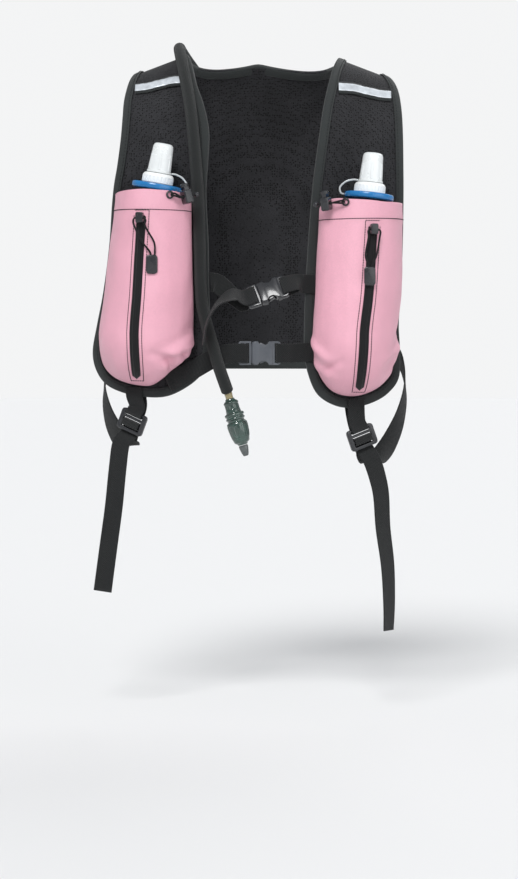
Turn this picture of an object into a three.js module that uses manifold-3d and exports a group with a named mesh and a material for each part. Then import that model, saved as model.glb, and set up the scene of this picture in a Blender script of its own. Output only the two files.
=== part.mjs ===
// A running hydration vest in its worn form: two front panels with a flask pocket each, a back panel
// with a reservoir, straps, buckles and a drinking hose. Millimetres, +Z up, the front faces -Y.
// The origin is the point between the shoulders where the vest is carried.
import * as THREE from "three";
import Module from "manifold-3d";

const wasm = await Module();
wasm.setup();
const v3 = (x, y, z) => new THREE.Vector3(x, y, z);

// Sizes of the worn form
const HALF_WIDTH = 178; // widest point of a front panel from the middle
const CHEST_DEPTH = 112; // front surface from the shoulder line, at the middle
const CHEST_TURN = 50; // how much nearer the front surface is at HALF_WIDTH
const BACK_DEPTH = 95;
const BACK_TURN = 44;
const SHOULDER_DROP = 150; // height over which the shoulder turns down into the chest or the back
const SHOULDER_RISE = 10; // the shoulder line over the origin, SHOULDER_OUT from the middle
const SHOULDER_OUT = 80;
const SHOULDER_SLOPE = 0.38;
const FRONT_LENGTH = 363; // lowest point of a front panel
const BACK_LENGTH = 335;

// Sizes of the cloth and webbing
const PAD = 4; // spacer mesh
const TAPE = 1.2; // binding tape
const BINDING_WIDTH = 10;
const CLOTH = 1.6; // coated pocket fabric
const GAP = 0.3; // between pieces that touch
const WEB_WIDTH = 20;
const WEB = 1.4;
const POCKET_CROWN = 60; // how far a filled pocket stands off its panel

// Sizes of the fittings
const BUCKLE_LENGTH = 45;
const BUCKLE_WIDTH = 25;
const SOCKET_THICK = 9.6;
const PRONG_THICK = 5;
const NOTCH = 6; // radius of the finger notches beside the socket
const LOCK_WIDTH = 31; // ladder lock
const LOCK_HEIGHT = 23;
const LOCK_THICK = 4;
const COLLAR_WIDTH = 52; // flask
const CAP_WIDTH = 33;
const COVER_WIDTH = 26;
const COVER_HEIGHT = 30;
const FLASK_WIDTH = 62;
const HOSE_WIDTH = 13;
const VALVE_WIDTH = 22.5;
const VALVE_LENGTH = 67;
const ZIP_WIDTH = 10;
const REFLECTIVE_HEIGHT = 10.5;
const BAND_HEIGHT = 16.5;
const PLUNGER_TRAVEL = 3;

// The form: the outer face of the padding. q counts quarter turns from the shoulder line, forwards
// for q > 0 and backwards for q < 0; from one quarter turn on, the surface goes straight down.
function turnOf(drop) {
  const far = Math.abs(drop) / SHOULDER_DROP;
  return Math.sign(drop) * (far < 1 ? Math.acos(1 - far) / (Math.PI / 2) : far);
}
function formAt(x, q) {
  const far = Math.abs(q), angle = Math.min(far, 1) * Math.PI / 2;
  const across = (Math.abs(x) / HALF_WIDTH) ** 2.2;
  const depth = q >= 0 ? CHEST_TURN * across - CHEST_DEPTH : BACK_DEPTH - BACK_TURN * across;
  const seat = SHOULDER_RISE - SHOULDER_SLOPE * (Math.abs(x) - SHOULDER_OUT);
  const down = far < 1 ? SHOULDER_DROP * (1 - Math.cos(angle)) : SHOULDER_DROP * far;
  return v3(x, depth * Math.sin(angle), seat * Math.cos(angle) ** 2 - down);
}
const stepX = (x, q) => formAt(x + 0.5, q).sub(formAt(x - 0.5, q));
const stepQ = (x, q) => {
  const side = q < 0 ? -1 : 1;
  const near = side * Math.max(Math.abs(q), 0.012);
  return formAt(x, near + side * 0.01).sub(formAt(x, near - side * 0.01)).multiplyScalar(side / 0.02);
};
const outward = (x, q) => stepQ(x, q).cross(stepX(x, q)).normalize();
const lifted = (x, q, lift) => formAt(x, q).addScaledVector(outward(x, q), lift);
const on = (x, drop, lift) => lifted(x, turnOf(drop), lift);
const ahead = (x, drop, lift) => formAt(x, turnOf(drop)).add(v3(0, -lift, 0)); // straight out in front

// The place on the form that lies a distance away along a direction in space.
function moved(x, q, direction, distance) {
  const a = stepX(x, q), b = stepQ(x, q);
  const aa = a.dot(a), ab = a.dot(b), bb = b.dot(b), ad = a.dot(direction), bd = b.dot(direction);
  const det = aa * bb - ab * ab;
  return [x + distance * (ad * bb - bd * ab) / det, q + distance * (bd * aa - ad * ab) / det];
}

// Solids
function solid(points, faces) {
  let volume = 0;
  for (const [a, b, c] of faces) volume += points[a].dot(points[b].clone().cross(points[c]));
  const turned = volume < 0 ? faces.map(([a, b, c]) => [a, c, b]) : faces;
  const geometry = new THREE.BufferGeometry().setFromPoints(points);
  return geometry.setIndex(turned.flat());
}

// A cloth piece between two grids of points, one for each face.
function sheet(outer, inner) {
  const rows = outer.length, columns = outer[0].length, count = rows * columns;
  const points = [...outer.flat(), ...inner.flat()], faces = [];
  const at = (r, c) => r * columns + c;
  const quad = (a, b, c, d) => faces.push([a, b, c], [a, c, d]);
  for (let r = 0; r + 1 < rows; r++)
    for (let c = 0; c + 1 < columns; c++) {
      quad(at(r, c), at(r + 1, c), at(r + 1, c + 1), at(r, c + 1));
      quad(count + at(r, c), count + at(r, c + 1), count + at(r + 1, c + 1), count + at(r + 1, c));
    }
  for (let r = 0; r + 1 < rows; r++)
    for (const [c, turn] of [[0, false], [columns - 1, true]]) {
      const [a, b] = turn ? [at(r + 1, c), at(r, c)] : [at(r, c), at(r + 1, c)];
      quad(a, count + a, count + b, b);
    }
  for (let c = 0; c + 1 < columns; c++)
    for (const [r, turn] of [[0, true], [rows - 1, false]]) {
      const [a, b] = turn ? [at(r, c + 1), at(r, c)] : [at(r, c), at(r, c + 1)];
      quad(a, count + a, count + b, b);
    }
  return solid(points, faces);
}

// A profile carried through sections of points, closed at both ends. One face can be split the other way.
function sweep(sections, profile, other = -1) {
  const n = profile.length, points = sections.flat(), faces = [];
  for (let s = 0; s + 1 < sections.length; s++)
    for (let i = 0; i < n; i++) {
      const j = (i + 1) % n, a = s * n, b = a + n;
      if (i === other) faces.push([a + i, a + j, b + i], [a + j, b + j, b + i]);
      else faces.push([a + i, a + j, b + j], [a + i, b + j, b + i]);
    }
  const last = points.length - n;
  for (const [a, b, c] of THREE.ShapeUtils.triangulateShape(profile.map(([x, y]) => new THREE.Vector2(x, y)),
    [])) {
    const clockwise = THREE.ShapeUtils.isClockWise(profile.map(([x, y]) => ({ x, y })));
    const [p, r] = clockwise ? [a, c] : [c, a];
    faces.push([p, b, r], [last + r, last + b, last + p]);
  }
  return solid(points, faces);
}

// Webbing through stations: each has a point of its middle line and its width's direction.
function ribbon(stations, width, thickness) {
  const profile = [[-1, -1], [1, -1], [1, 1], [-1, 1]];
  const sections = stations.map(({ point, side }, i) => {
    const before = stations[Math.max(i - 1, 0)].point, after = stations[Math.min(i + 1,
      stations.length - 1)].point;
    const along = after.clone().sub(before).normalize();
    const across = side.clone().addScaledVector(along, -side.dot(along)).normalize();
    const face = along.clone().cross(across).normalize();
    return profile.map(([w, t]) => point.clone().addScaledVector(across, w * width / 2).addScaledVector(face,
      t * thickness / 2));
  });
  return sweep(sections, profile, 2); // both faces of a twisted web are split along the same line
}

function tube(points, diameter, steps, sides = 8) {
  const circle = new THREE.Shape();
  for (let i = 0; i < sides; i++) {
    const a = i / sides * 2 * Math.PI;
    circle[i ? "lineTo" : "moveTo"](Math.cos(a) * diameter / 2, Math.sin(a) * diameter / 2);
  }
  circle.closePath();
  return new THREE.ExtrudeGeometry(circle, { steps, bevelEnabled: false,
    extrudePath: new THREE.CatmullRomCurve3(points) });
}

const lathe = (profile, sides) => new THREE.LatheGeometry(profile.map(([r, z]) => new THREE.Vector2(r, z)),
  sides).rotateX(Math.PI / 2);

function plate(outline, holes, thickness, bevel) {
  const shape = new THREE.Shape(outline.map(([x, y]) => new THREE.Vector2(x, y)));
  shape.holes = holes.map((h) => new THREE.Path(h.map(([x, y]) => new THREE.Vector2(x, y))));
  const geometry = new THREE.ExtrudeGeometry(shape, {
    depth: thickness - 2 * bevel, bevelEnabled: bevel > 0, bevelThickness: bevel, bevelSize: bevel,
      bevelOffset: -bevel,
    bevelSegments: 1,
  });
  return geometry.translate(0, 0, bevel - thickness / 2);
}
const rectangle = (x0, x1, y0, y1) => [[x0, y0], [x1, y0], [x1, y1], [x0, y1]];
const cornered = (x0, x1, y0, y1, cut) => [
  [x0 + cut, y0], [x1 - cut, y0], [x1 - cut * 0.3, y0 + cut * 0.3], [x1, y0 + cut], [x1, y1 - cut],
  [x1 - cut * 0.3, y1 - cut * 0.3], [x1 - cut, y1], [x0 + cut, y1], [x0 + cut * 0.3, y1 - cut * 0.3],
  [x0, y1 - cut], [x0, y0 + cut], [x0 + cut * 0.3, y0 + cut * 0.3],
];
const box = (x0, x1, y0, y1, z0, z1) =>
  new THREE.BoxGeometry(x1 - x0, y1 - y0, z1 - z0).translate((x0 + x1) / 2, (y0 + y1) / 2, (z0 + z1) / 2);

function manifoldOf(geometry) {
  const g = geometry.index ? geometry.toNonIndexed() : geometry, found = new Map(), kept = [], triVerts = [];
  const p = g.getAttribute("position");
  for (let i = 0; i < p.count; i++) {
    const key = [p.getX(i), p.getY(i), p.getZ(i)].map((n) => Math.round(n * 1e4)).join();
    if (!found.has(key)) {
      found.set(key, kept.length / 3);
      kept.push(p.getX(i), p.getY(i), p.getZ(i));
    }
    triVerts.push(found.get(key));
  }
  const whole = [];
  for (let i = 0; i < triVerts.length; i += 3)
    if (new Set(triVerts.slice(i, i + 3)).size === 3) whole.push(...triVerts.slice(i, i + 3));
  return new wasm.Manifold(new wasm.Mesh({ numProp: 3, vertProperties: new Float32Array(kept),
    triVerts: new Uint32Array(whole) }));
}
function cut(geometry, tools, joined = []) {
  let made = manifoldOf(geometry);
  for (const tool of joined) made = made.add(manifoldOf(tool));
  for (const tool of tools) made = made.subtract(manifoldOf(tool));
  const mesh = made.getMesh();
  const result = new THREE.BufferGeometry();
  result.setAttribute("position", new THREE.BufferAttribute(new Float32Array(mesh.vertProperties), 3));
  return result.setIndex([...mesh.triVerts]);
}

// Colours and finishes
const BLACK_MESH = [0x2b2b2d, 0.95], BLACK_WEB = [0x36393a, 0.85], BLACK_PLASTIC = [0x222427, 0.4];
const PINK = [0xe3afc0, 0.55], SILVER = [0xc9d3dc, 0.35], WHITE = [0xf2f3f0, 0.45], BLUE = [0x1566a8, 0.4];
const GREY_GREEN = [0x5d7a70, 0.35], CLEAR = [0xdfe6ea, 0.2], SLEEVE = [0x3e4140, 0.9];

const vest = new THREE.Group();
vest.name = "hydration_vest";
function add(name, geometry, [color, roughness], parent = vest) {
  const mesh = new THREE.Mesh(geometry, new THREE.MeshStandardMaterial({ color, roughness, metalness: 0 }));
  mesh.name = name;
  parent.add(mesh);
  return mesh;
}
// A frame to build a fitting in: z along its axis or out of its face, y as near as can be to up.
function frameAt(origin, x, y) {
  const group = new THREE.Group(), z = x.clone().cross(y).normalize(), up = z.clone().cross(x).normalize();
  group.position.copy(origin);
  group.quaternion.setFromRotationMatrix(new THREE.Matrix4().makeBasis(x.clone().normalize(), up, z));
  vest.add(group);
  group.updateMatrixWorld(true);
  return group;
}
const between = (a, b, t) => a + (b - a) * t;
function read(table, key, column, value) {
  const i = Math.max(1, table.findIndex((row) => row[key] >= value));
  const [a, b] = value >= table.at(-1)[key] ? table.slice(-2) : table.slice(i - 1, i + 1);
  return between(a[column], b[column], (value - a[key]) / (b[key] - a[key]));
}

// Front panels. A row's drop is a share of FRONT_LENGTH, its edges are shares of HALF_WIDTH; the hem
// runs from the outer edge to the inner edge in shares of the last row's width and of FRONT_LENGTH.
const rowsOf = (table) => table.map(([drop, inner, outer]) => ({ drop, inner, outer }));
const SEAM = 0.0013; // quarter turns left free on each side of the shoulder seam
const FRONT = {
  right: {
    sign: -1,
    rows: rowsOf([
      [0, 0.435, 0.758], [0.0069, 0.427, 0.772], [0.0248, 0.41, 0.787], [0.0551, 0.393, 0.801],
      [0.1019, 0.369, 0.815], [0.1598, 0.325, 0.82], [0.2342, 0.292, 0.829], [0.3168, 0.298, 0.848],
      [0.4132, 0.309, 0.876], [0.551, 0.295, 0.896], [0.6887, 0.292, 0.933], [0.7851, 0.281, 0.972],
    ]),
    hem: [[0, 0.865], [0.03, 0.922], [0.12, 0.965], [0.27, 0.989], [0.45, 1], [0.63, 0.997], [0.8, 0.968],
      [0.92, 0.93], [1, 0.876]],
    hemWide: [0.275, 1],
  },
  left: {
    sign: 1,
    rows: rowsOf([
      [0, 0.494, 0.803], [0.0069, 0.486, 0.82], [0.0248, 0.469, 0.84], [0.0551, 0.447, 0.857],
      [0.1019, 0.421, 0.868], [0.1598, 0.393, 0.874], [0.2342, 0.368, 0.876], [0.3168, 0.343, 0.876],
      [0.4132, 0.32, 0.876], [0.551, 0.298, 0.871], [0.6887, 0.281, 0.86], [0.7851, 0.275, 0.846],
    ]),
    hem: [[0, 0.865], [0.01, 0.942], [0.115, 0.986], [0.27, 1.014], [0.48, 1.03], [0.67, 1.025], [0.86,
      0.992], [0.96, 0.931], [1, 0.865]],
    hemWide: [0.275, 0.854],
  },
};

// The edge of a piece as a list of places, with the way inwards found from its neighbours.
function inwards(edge, sign) {
  return edge.map(([x, q], i) => {
    const before = edge[Math.max(i - 1, 0)], after = edge[Math.min(i + 1, edge.length - 1)];
    const along = formAt(...after).sub(formAt(...before));
    return { x, q, inward: outward(x, q).cross(along).normalize().multiplyScalar(-sign) };
  });
}
const inset = ({ x, q, inward }, distance) => moved(x, q, inward, distance);

// Binding tape folded round an edge: a U with a leg on each face.
function binding(edge, slack = 0) {
  const wall = TAPE + GAP + slack, back = PAD + 0.5 + slack, under = GAP + slack;
  const profile = [
    [BINDING_WIDTH, under], [BINDING_WIDTH, wall], [0.8, wall], [0, 0.5], [0, -back], [0.8, -back - TAPE],
    [BINDING_WIDTH, -back - TAPE], [BINDING_WIDTH, -back], [TAPE, -back], [TAPE, under],
  ];
  return sweep(edge.map((place) => profile.map(([far, lift]) => lifted(...inset(place, far), lift))),
    profile);
}

const edges = {};
for (const [side, { sign, rows, hem, hemWide }] of Object.entries(FRONT)) {
  const q = rows.map((row) => Math.max(SEAM, turnOf(row.drop * FRONT_LENGTH)));
  const outer = rows.map((row, i) => [sign * row.outer * HALF_WIDTH, q[i]]);
  const inner = rows.map((row, i) => [sign * row.inner * HALF_WIDTH, q[i]]);
  const bottom = hem.map(([across, drop]) => [
    sign * HALF_WIDTH * between(hemWide[1], hemWide[0], across), turnOf(drop * FRONT_LENGTH)]);
  const edge = inwards([...outer, ...bottom, ...inner.toReversed()], sign);
  edges[side] = edge;
  add("binding_front_" + side, binding(edge), BLACK_WEB);

  const pulled = edge.map((place) => inset(place, TAPE + GAP));
  const count = rows.length, left = pulled.slice(0, count), right = pulled.slice(-count).toReversed();
  const grid = left.map(([x0], r) => hem.map(([across]) => [between(x0, right[r][0], across), q[r]]));
  grid.push(pulled.slice(count, -count));
  const face = (lift) => grid.map((row) => row.map(([x, t]) => lifted(x, Math.max(t, SEAM), lift)));
  add("front_panel_" + side, sheet(face(0), face(-PAD)), BLACK_MESH);
}

// Back panel: shoulder ends that meet the front panels, a neckline between them and a plain hem.
const NECK_DROP = 22;
const ARMHOLE = [ // drop as a share of BACK_LENGTH, right edge and left edge of HALF_WIDTH
  [0, 0.758, 0.803], [0.0075, 0.753, 0.798], [0.0269, 0.742, 0.781], [0.0597, 0.72, 0.753], [0.1104, 0.691,
    0.719],
  [0.1731, 0.663, 0.68], [0.2537, 0.635, 0.646], [0.3433, 0.618, 0.624], [0.4478, 0.618, 0.618], [0.597,
    0.652, 0.652],
  [0.7463, 0.719, 0.719], [0.8955, 0.775, 0.775], [0.9284, 0.773, 0.773],
].map(([drop, right, left]) => ({ drop: drop * BACK_LENGTH, right: right * HALF_WIDTH,
  left: left * HALF_WIDTH }));
const HEM_SHARES = [1, 0.94, 0.84, 0.72, 0.6, 0.56, 0.5, 0.38, 0.22, 0];
const neckOut = { right: FRONT.right.rows[0].inner * HALF_WIDTH,
  left: FRONT.left.rows[0].inner * HALF_WIDTH };
const armOut = { right: ARMHOLE[0].right, left: ARMHOLE[0].left };
// One column of the back grid: where it starts on the shoulder seam or the neckline.
function topOf(side, share) {
  const sign = side === "right" ? -1 : 1, neck = neckOut[side], arm = armOut[side];
  if (share >= 0.6) return [sign * between(neck, arm, (share - 0.6) / 0.4), SEAM];
  const t = [0.993, 0.97, 0.8, 0.5, 0][[0.56, 0.5, 0.38, 0.22, 0].indexOf(share)];
  return [sign * neck * t, turnOf(NECK_DROP * Math.sqrt(1 - t * t))];
}
{
  const columns = [...HEM_SHARES.map((s) => ["right", s]), ...HEM_SHARES.slice(0,
    -1).toReversed().map((s) => ["left", s])];
  const edgeX = (side, drop) => read(ARMHOLE, "drop", side, drop);
  const hemDrop = (share) => BACK_LENGTH - 13 * Math.max(0, (share - 0.8) / 0.2) ** 2;
  const side = (name) => ARMHOLE.map((row) => [(name === "right" ? -1 : 1) * row[name], -Math.max(SEAM,
    turnOf(row.drop))]);
  const hem = columns.map(([name, s]) => [(name === "right" ? -1 : 1) * s * 0.765 * HALF_WIDTH,
    -turnOf(hemDrop(s))]);
  const outerEdge = inwards([...side("right"), ...hem, ...side("left").toReversed()], 1);
  const neckEdge = inwards(columns.filter(([, s]) => s <= 0.6).map(([name, s]) => {
    const [x, q] = topOf(name, s);
    return [x, -q];
  }), -1);
  add("binding_back", binding(outerEdge, 0.25), BLACK_WEB);
  add("binding_neck", binding(neckEdge, 0.6), BLACK_WEB);

  const wrap = TAPE + GAP, neckIn = neckEdge.map((place) => inset(place, wrap));
  const outIn = outerEdge.map((place) => inset(place, wrap));
  const n = ARMHOLE.length, rightIn = outIn.slice(0, n), leftIn = outIn.slice(-n).toReversed(),
    hemIn = outIn.slice(n, -n);
  const grid = ARMHOLE.map((row, r) => columns.map(([name, s], c) => {
    const sign = name === "right" ? -1 : 1, edgeHere = name === "right" ? rightIn[r] : leftIn[r];
    const neckPlace = s <= 0.6 ? neckIn[c - columns.findIndex(([, t]) => t <= 0.6)] : null;
    const topX = neckPlace ? neckPlace[0] : between(sign * neckOut[name],
      (name === "right" ? rightIn : leftIn)[0][0], (s - 0.6) / 0.4);
    const topDrop = neckPlace ? SHOULDER_DROP * (1 - Math.cos(Math.abs(neckPlace[1]) * Math.PI / 2)) : 0;
    const share = row.drop / ARMHOLE.at(-1).drop, drop = between(topDrop, ARMHOLE.at(-1).drop, share);
    if (s === 1) return [edgeHere[0], -Math.max(SEAM, turnOf(row.drop))];
    const wide = Math.abs((name === "right" ? rightIn : leftIn)[r][0]) / Math.abs((name === "right" ? rightIn : leftIn)[0][0]);
    const even = sign * s * Math.abs(edgeHere[0]);
    return [between(topX * wide, even, Math.min(1, share * 1.2)), -Math.max(SEAM, turnOf(drop))];
  }));
  grid.push(hemIn);
  const face = (lift) => grid.map((row) => row.map(([x, q]) => lifted(x, q, lift)));
  add("back_panel", sheet(face(0), face(-PAD)), BLACK_MESH);
}


// Flask pockets. A section across a pocket is part of a circle pulled out of shape: it leaves the panel
// at the two foot angles, so that a filled pocket hangs over the binding beside it.
const COLUMNS = 10;
const down = (share) => share * FRONT_LENGTH, spot = ([x, drop]) => [x * HALF_WIDTH, drop * FRONT_LENGTH];
const pocketRows = (table) => table.map(([drop, outer, inner, crown]) => ({ drop: down(drop), outer, inner,
  crown }));
const POCKET = {
  right: {
    feet: [33, 10],
    rim: [0.4118, 0.4132, 0.4077, 0.4036, 0.4008, 0.3994, 0.4022, 0.405, 0.4132, 0.4325, 0.4408].map(down),
    rows: pocketRows([[0.4132, 0.85, 0.393, 1], [0.4545, 0.854, 0.393, 1], [0.5923, 0.888, 0.388, 1.01],
      [0.7025, 0.916, 0.382, 1.02], [0.8127, 0.95, 0.382, 0.96]]),
    hem: [[0.9326, 0.8595], [0.927, 0.8926], [0.8989, 0.9229], [0.8483, 0.9449], [0.7809, 0.9587], [0.7079,
      0.9656], [0.6404, 0.9656], [0.5899, 0.9504],
      [0.5506, 0.927], [0.4944, 0.905], [0.4382, 0.8788]].map(spot),
    zip: { top: down(0.4711), bottom: down(0.9421), column: [4.9, 5], slider: down(0.4821), tab: spot([0.6202,
      0.616]), over: 0.3, left: spot([0.6713, 0.551]), right: spot([0.6096, 0.551]) },
    eyelet: spot([0.5169, 0.416]), lock: spot([0.4522, 0.4201]),
  },
  left: {
    feet: [35, 18],
    rim: [0.4353, 0.4366, 0.4353, 0.4353, 0.4353, 0.4311, 0.4284, 0.4256, 0.4325, 0.449, 0.4573].map(down),
    rows: pocketRows([[0.427, 0.86, 0.362, 1], [0.4545, 0.86, 0.362, 1], [0.5923, 0.856, 0.348, 1.01],
      [0.7025, 0.848, 0.337, 1.02], [0.8127, 0.826, 0.323, 0.96]]),
    hem: [[0.7921, 0.8595], [0.7893, 0.8981], [0.7697, 0.9366], [0.7247, 0.9669], [0.6573, 0.9862], [0.5843,
      0.9959], [0.5112, 0.9945], [0.4438, 0.9821],
      [0.3961, 0.9573], [0.3624, 0.9201], [0.3483, 0.8705]].map(spot),
    zip: { top: down(0.5014), bottom: down(0.9752), column: [4.75, 5], slider: down(0.5152),
      tab: spot([0.6461, 0.6501]), over: 2.4, left: spot([0.6236, 0.5895]), right: spot([0.6826, 0.5895]) },
    eyelet: spot([0.5124, 0.4369]), lock: spot([0.4287, 0.4408]),
  },
};
const LEVELS = [0.4545, 0.5234, 0.5923, 0.7025, 0.8127].map(down), ROUNDING = [30, 60, 90],
  RAD = Math.PI / 180;
function pocketAt(side, column, drop, wall = 0) {
  const { feet, rows, hem } = POCKET[side], sign = FRONT[side].sign, last = rows.at(-1).drop;
  const level = Math.min(drop, last);
  const outer = read(rows, "drop", "outer", level) * HALF_WIDTH - wall, inner = read(rows, "drop", "inner",
    level) * HALF_WIDTH + wall;
  const crown = read(rows, "drop", "crown", level) * POCKET_CROWN - wall;
  const turn = 180 + feet[0] - column / COLUMNS * (180 + feet[0] + feet[1]);
  const foot = Math.sin(feet[turn > 90 ? 0 : 1] * RAD);
  const wide = (outer + inner) / 2 - (outer - inner) / 2 * Math.cos(turn * RAD);
  const q = turnOf(level), lean = formAt(wide, q).y - formAt((outer + inner) / 2, q).y; // the fill stands level
  const lift = GAP + crown * (Math.sin(turn * RAD) + foot) / (1 + foot) + lean * Math.max(0,
    Math.sin(turn * RAD));
  if (drop <= last) return ahead(sign * wide, drop, lift);
  const i = Math.min(Math.floor(column), COLUMNS - 1), part = column - i;
  const low = between(hem[i][1], hem[i + 1][1], part) - wall;
  const middle = (hem[0][0] + hem[COLUMNS][0]) / 2, edge = between(hem[i][0], hem[i + 1][0], part);
  const far = edge - wall * (edge - middle) / Math.abs(hem[0][0] - middle);
  const share = Math.min(1, (drop - last) / (low - last)), angle = Math.asin(share);
  return ahead(sign * between(wide, far, 1 - Math.cos(angle)), between(last, low, share),
    GAP + (lift - GAP) * Math.cos(angle));
}
function pocketGrid(side, wall) {
  const { rim, rows, hem } = POCKET[side], last = rows.at(-1).drop, all = [...Array(COLUMNS + 1).keys()];
  const levels = [all.map((c) => rim[c]),
    ...LEVELS.filter((l) => l > Math.max(...rim)).map((l) => all.map(() => l)),
    ...ROUNDING.map((turn) => all.map((c) => between(last, hem[c][1] - wall, Math.sin(turn * RAD))))];
  return levels.map((drops) => all.map((c) => pocketAt(side, c, drops[c], wall)));
}
// A frame on a pocket's face: across it, up it and out of it, moved off it by a height.
function pocketFrame(side, column, drop, height) {
  const origin = pocketAt(side, column, drop);
  const across = pocketAt(side, column + 0.1, drop).sub(pocketAt(side, column - 0.1,
    drop)).multiplyScalar(FRONT[side].sign).negate().normalize();
  const up = pocketAt(side, column, drop - 1).sub(pocketAt(side, column, drop + 1)).normalize();
  const out = across.clone().cross(up).normalize();
  return { origin: origin.addScaledVector(out, height), across, up: out.clone().cross(across), out };
}
function columnAt(side, x, drop) {
  let low = 1.5, high = 9;
  for (let i = 0; i < 30; i++) {
    const middle = (low + high) / 2;
    if (Math.abs(pocketAt(side, middle, drop).x) > x) low = middle;
    else high = middle;
  }
  return low;
}
const place = ({ origin, across, up, out }, x, y, z) =>
  origin.clone().addScaledVector(across, x).addScaledVector(up, y).addScaledVector(out, z);

for (const side of ["right", "left"]) {
  const { zip, eyelet, lock } = POCKET[side], sign = FRONT[side].sign;
  add("pocket_" + side, sheet(pocketGrid(side, 0), pocketGrid(side, CLOTH)), PINK);

  // The zip: two tapes as one strip with the closed coil standing on it.
  const half = ZIP_WIDTH / 2, coil = 2, strip = GAP + 0.9, top = strip + 1;
  const profile = [[-half, GAP], [half, GAP], [half, strip], [coil, strip], [coil, top], [-coil, top], [-coil,
    strip], [-half, strip]];
  const last = LEVELS.at(-1), low = POCKET[side].hem[5][1];
  const rows = [...LEVELS, ...ROUNDING.map((turn) => between(last, low, Math.sin(turn * RAD)))];
  const stops = [zip.top, ...rows.filter((l) => l > zip.top + 8 && l < zip.bottom - 1), zip.bottom];
  add("zip_tape_" + side, sweep(stops.map((drop) => {
    const column = between(...zip.column, (drop - zip.top) / (zip.bottom - zip.top)),
      frame = pocketFrame(side, column, drop, 0);
    return profile.map(([x, z]) => place(frame, x, 0, z));
  }), profile), BLACK_WEB);

  // The slider rides on the coil; its bail carries a cord loop with a moulded tab.
  const sliderFrame = pocketFrame(side, zip.column[0], zip.slider, top + GAP);
  const onSlider = frameAt(sliderFrame.origin, sliderFrame.across, sliderFrame.up);
  add("zip_slider_" + side, cut(plate(cornered(-4, 4, -5.5, 5.5, 1.6), [], 6, 0.5).translate(0, 0, 3),
    [box(-6, 6, -1.7, 1.7, 1.8, 4.8)]), BLACK_PLASTIC, onSlider);
  const tabFrame = pocketFrame(side, columnAt(side, zip.tab[0], zip.tab[1]), zip.tab[1],
    GAP + 1.6 + zip.over);
  const onTab = frameAt(tabFrame.origin, tabFrame.across, tabFrame.up);
  add("zip_pull_tab_" + side, plate(cornered(-6, 6, -10, 10, 3), [], 3.2, 0.8), BLACK_PLASTIC, onTab);
  const lie = ([x, drop], height) => pocketFrame(side, columnAt(side, x, drop), drop, height).origin;
  add("zip_pull_cord_" + side, tube([
    place(tabFrame, -2.2, 10.3, 0), place(tabFrame, -2.6, 13, 0.4), lie(zip.left, 4.6), place(sliderFrame,
      -5.8, -9, 2),
    place(sliderFrame, -6.6, -2.6, 3.2), place(sliderFrame, -3, 0.1, 3.4), place(sliderFrame, 3, 0.1, 3.4),
      place(sliderFrame, 6.6, -2.6, 3.2),
    place(sliderFrame, 6.2, -9, 2), lie(zip.right, 4.6), place(tabFrame, 2.6, 13, 0.4), place(tabFrame, 2.2,
      10.3, 0),
  ], 2, 20, 6), BLACK_WEB);

  // The cinch: an eyelet, a doubled elastic cord, a spring lock and a ball on the cord's end.
  const ring = pocketFrame(side, columnAt(side, ...eyelet), eyelet[1], GAP + 0.25);
  const onRing = frameAt(ring.origin, ring.across, ring.up);
  add("eyelet_" + side, lathe([[2.5, 0], [4.5, 0], [4.5, 0.7], [3.9, 1.4], [3, 1.4], [2.5, 0.9], [2.5, 0]],
    12), BLACK_PLASTIC, onRing);
  const away = side === "right" ? 1 : -1;
  const cordWay = side === "right" ? v3(0.83, 0.48, 0.18).normalize() : v3(-0.9, 0.42, -0.08).normalize();
  const lockAt = pocketFrame(side, columnAt(side, ...lock), lock[1], 8.6).origin;
  const barrelWay = side === "right" ? v3(-0.45, -0.1, 0.9) : v3(-0.35, 0, 0.93);
  const holder = away > 0 ? frameAt(lockAt, cordWay, barrelWay) : frameAt(lockAt, cordWay.clone().negate(),
    barrelWay);
  const slot = box(-8, 8, -1.8, 1.8, -2.5, 2.5);
  add("cord_lock_barrel_" + side, cut(plate(cornered(-4.5, 4.5, -7.5, 6.5, 1.6), [], 11.5, 1), [box(-2.8, 2.8,
    -6.3, 8, -4.1, 4.1), slot]), BLACK_PLASTIC, holder);
  add("cord_lock_plunger_" + side, cut(box(-2.5, 2.5, -3, 10, -3.8, 3.8), [box(-8, 8, -1.8,
    1.8 + PLUNGER_TRAVEL, -2.5, 2.5)],
    [lathe([[0, 6.5 + GAP + PLUNGER_TRAVEL], [4.4, 6.5 + GAP + PLUNGER_TRAVEL], [4.4, 12.6], [3.6, 13.5], [0,
      13.5]], 14).rotateX(-Math.PI / 2)]), BLACK_PLASTIC, holder);
  holder.updateMatrixWorld(true);
  const inLock = (x, z) => holder.localToWorld(v3(x * away, 0, z));
  const strand = 1.2;
  add("cinch_cord_" + side, tube([
    inLock(9.4, strand), inLock(6, strand), inLock(-6, strand), place(ring, away * 3.6, strand, 4.9),
    place(ring, away * 1.5, strand * 0.9, 2.9), place(ring, away * 1.1, 0, 1.5), place(ring, away * 1.5,
      -strand * 0.9, 2.9),
    place(ring, away * 3.6, -strand, 4.9), inLock(-6, -strand), inLock(6, -strand), inLock(9.4, -strand),
  ], 2, 22, 6), BLACK_WEB);
  const end = holder.localToWorld(v3(9.7 * away, 0, 0)).sub(holder.position);
  const ball = standAt(holder.localToWorld(v3(9.7 * away, 0, 0)), end, barrelWay);
  add("cord_end_ball_" + side, lathe([[0, 0], [2.4, 0], [2.9, 1.2], [2.7, 3.2], [1.6, 4.8], [0, 5.2]], 10),
    BLACK_PLASTIC, ball);
}

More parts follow.
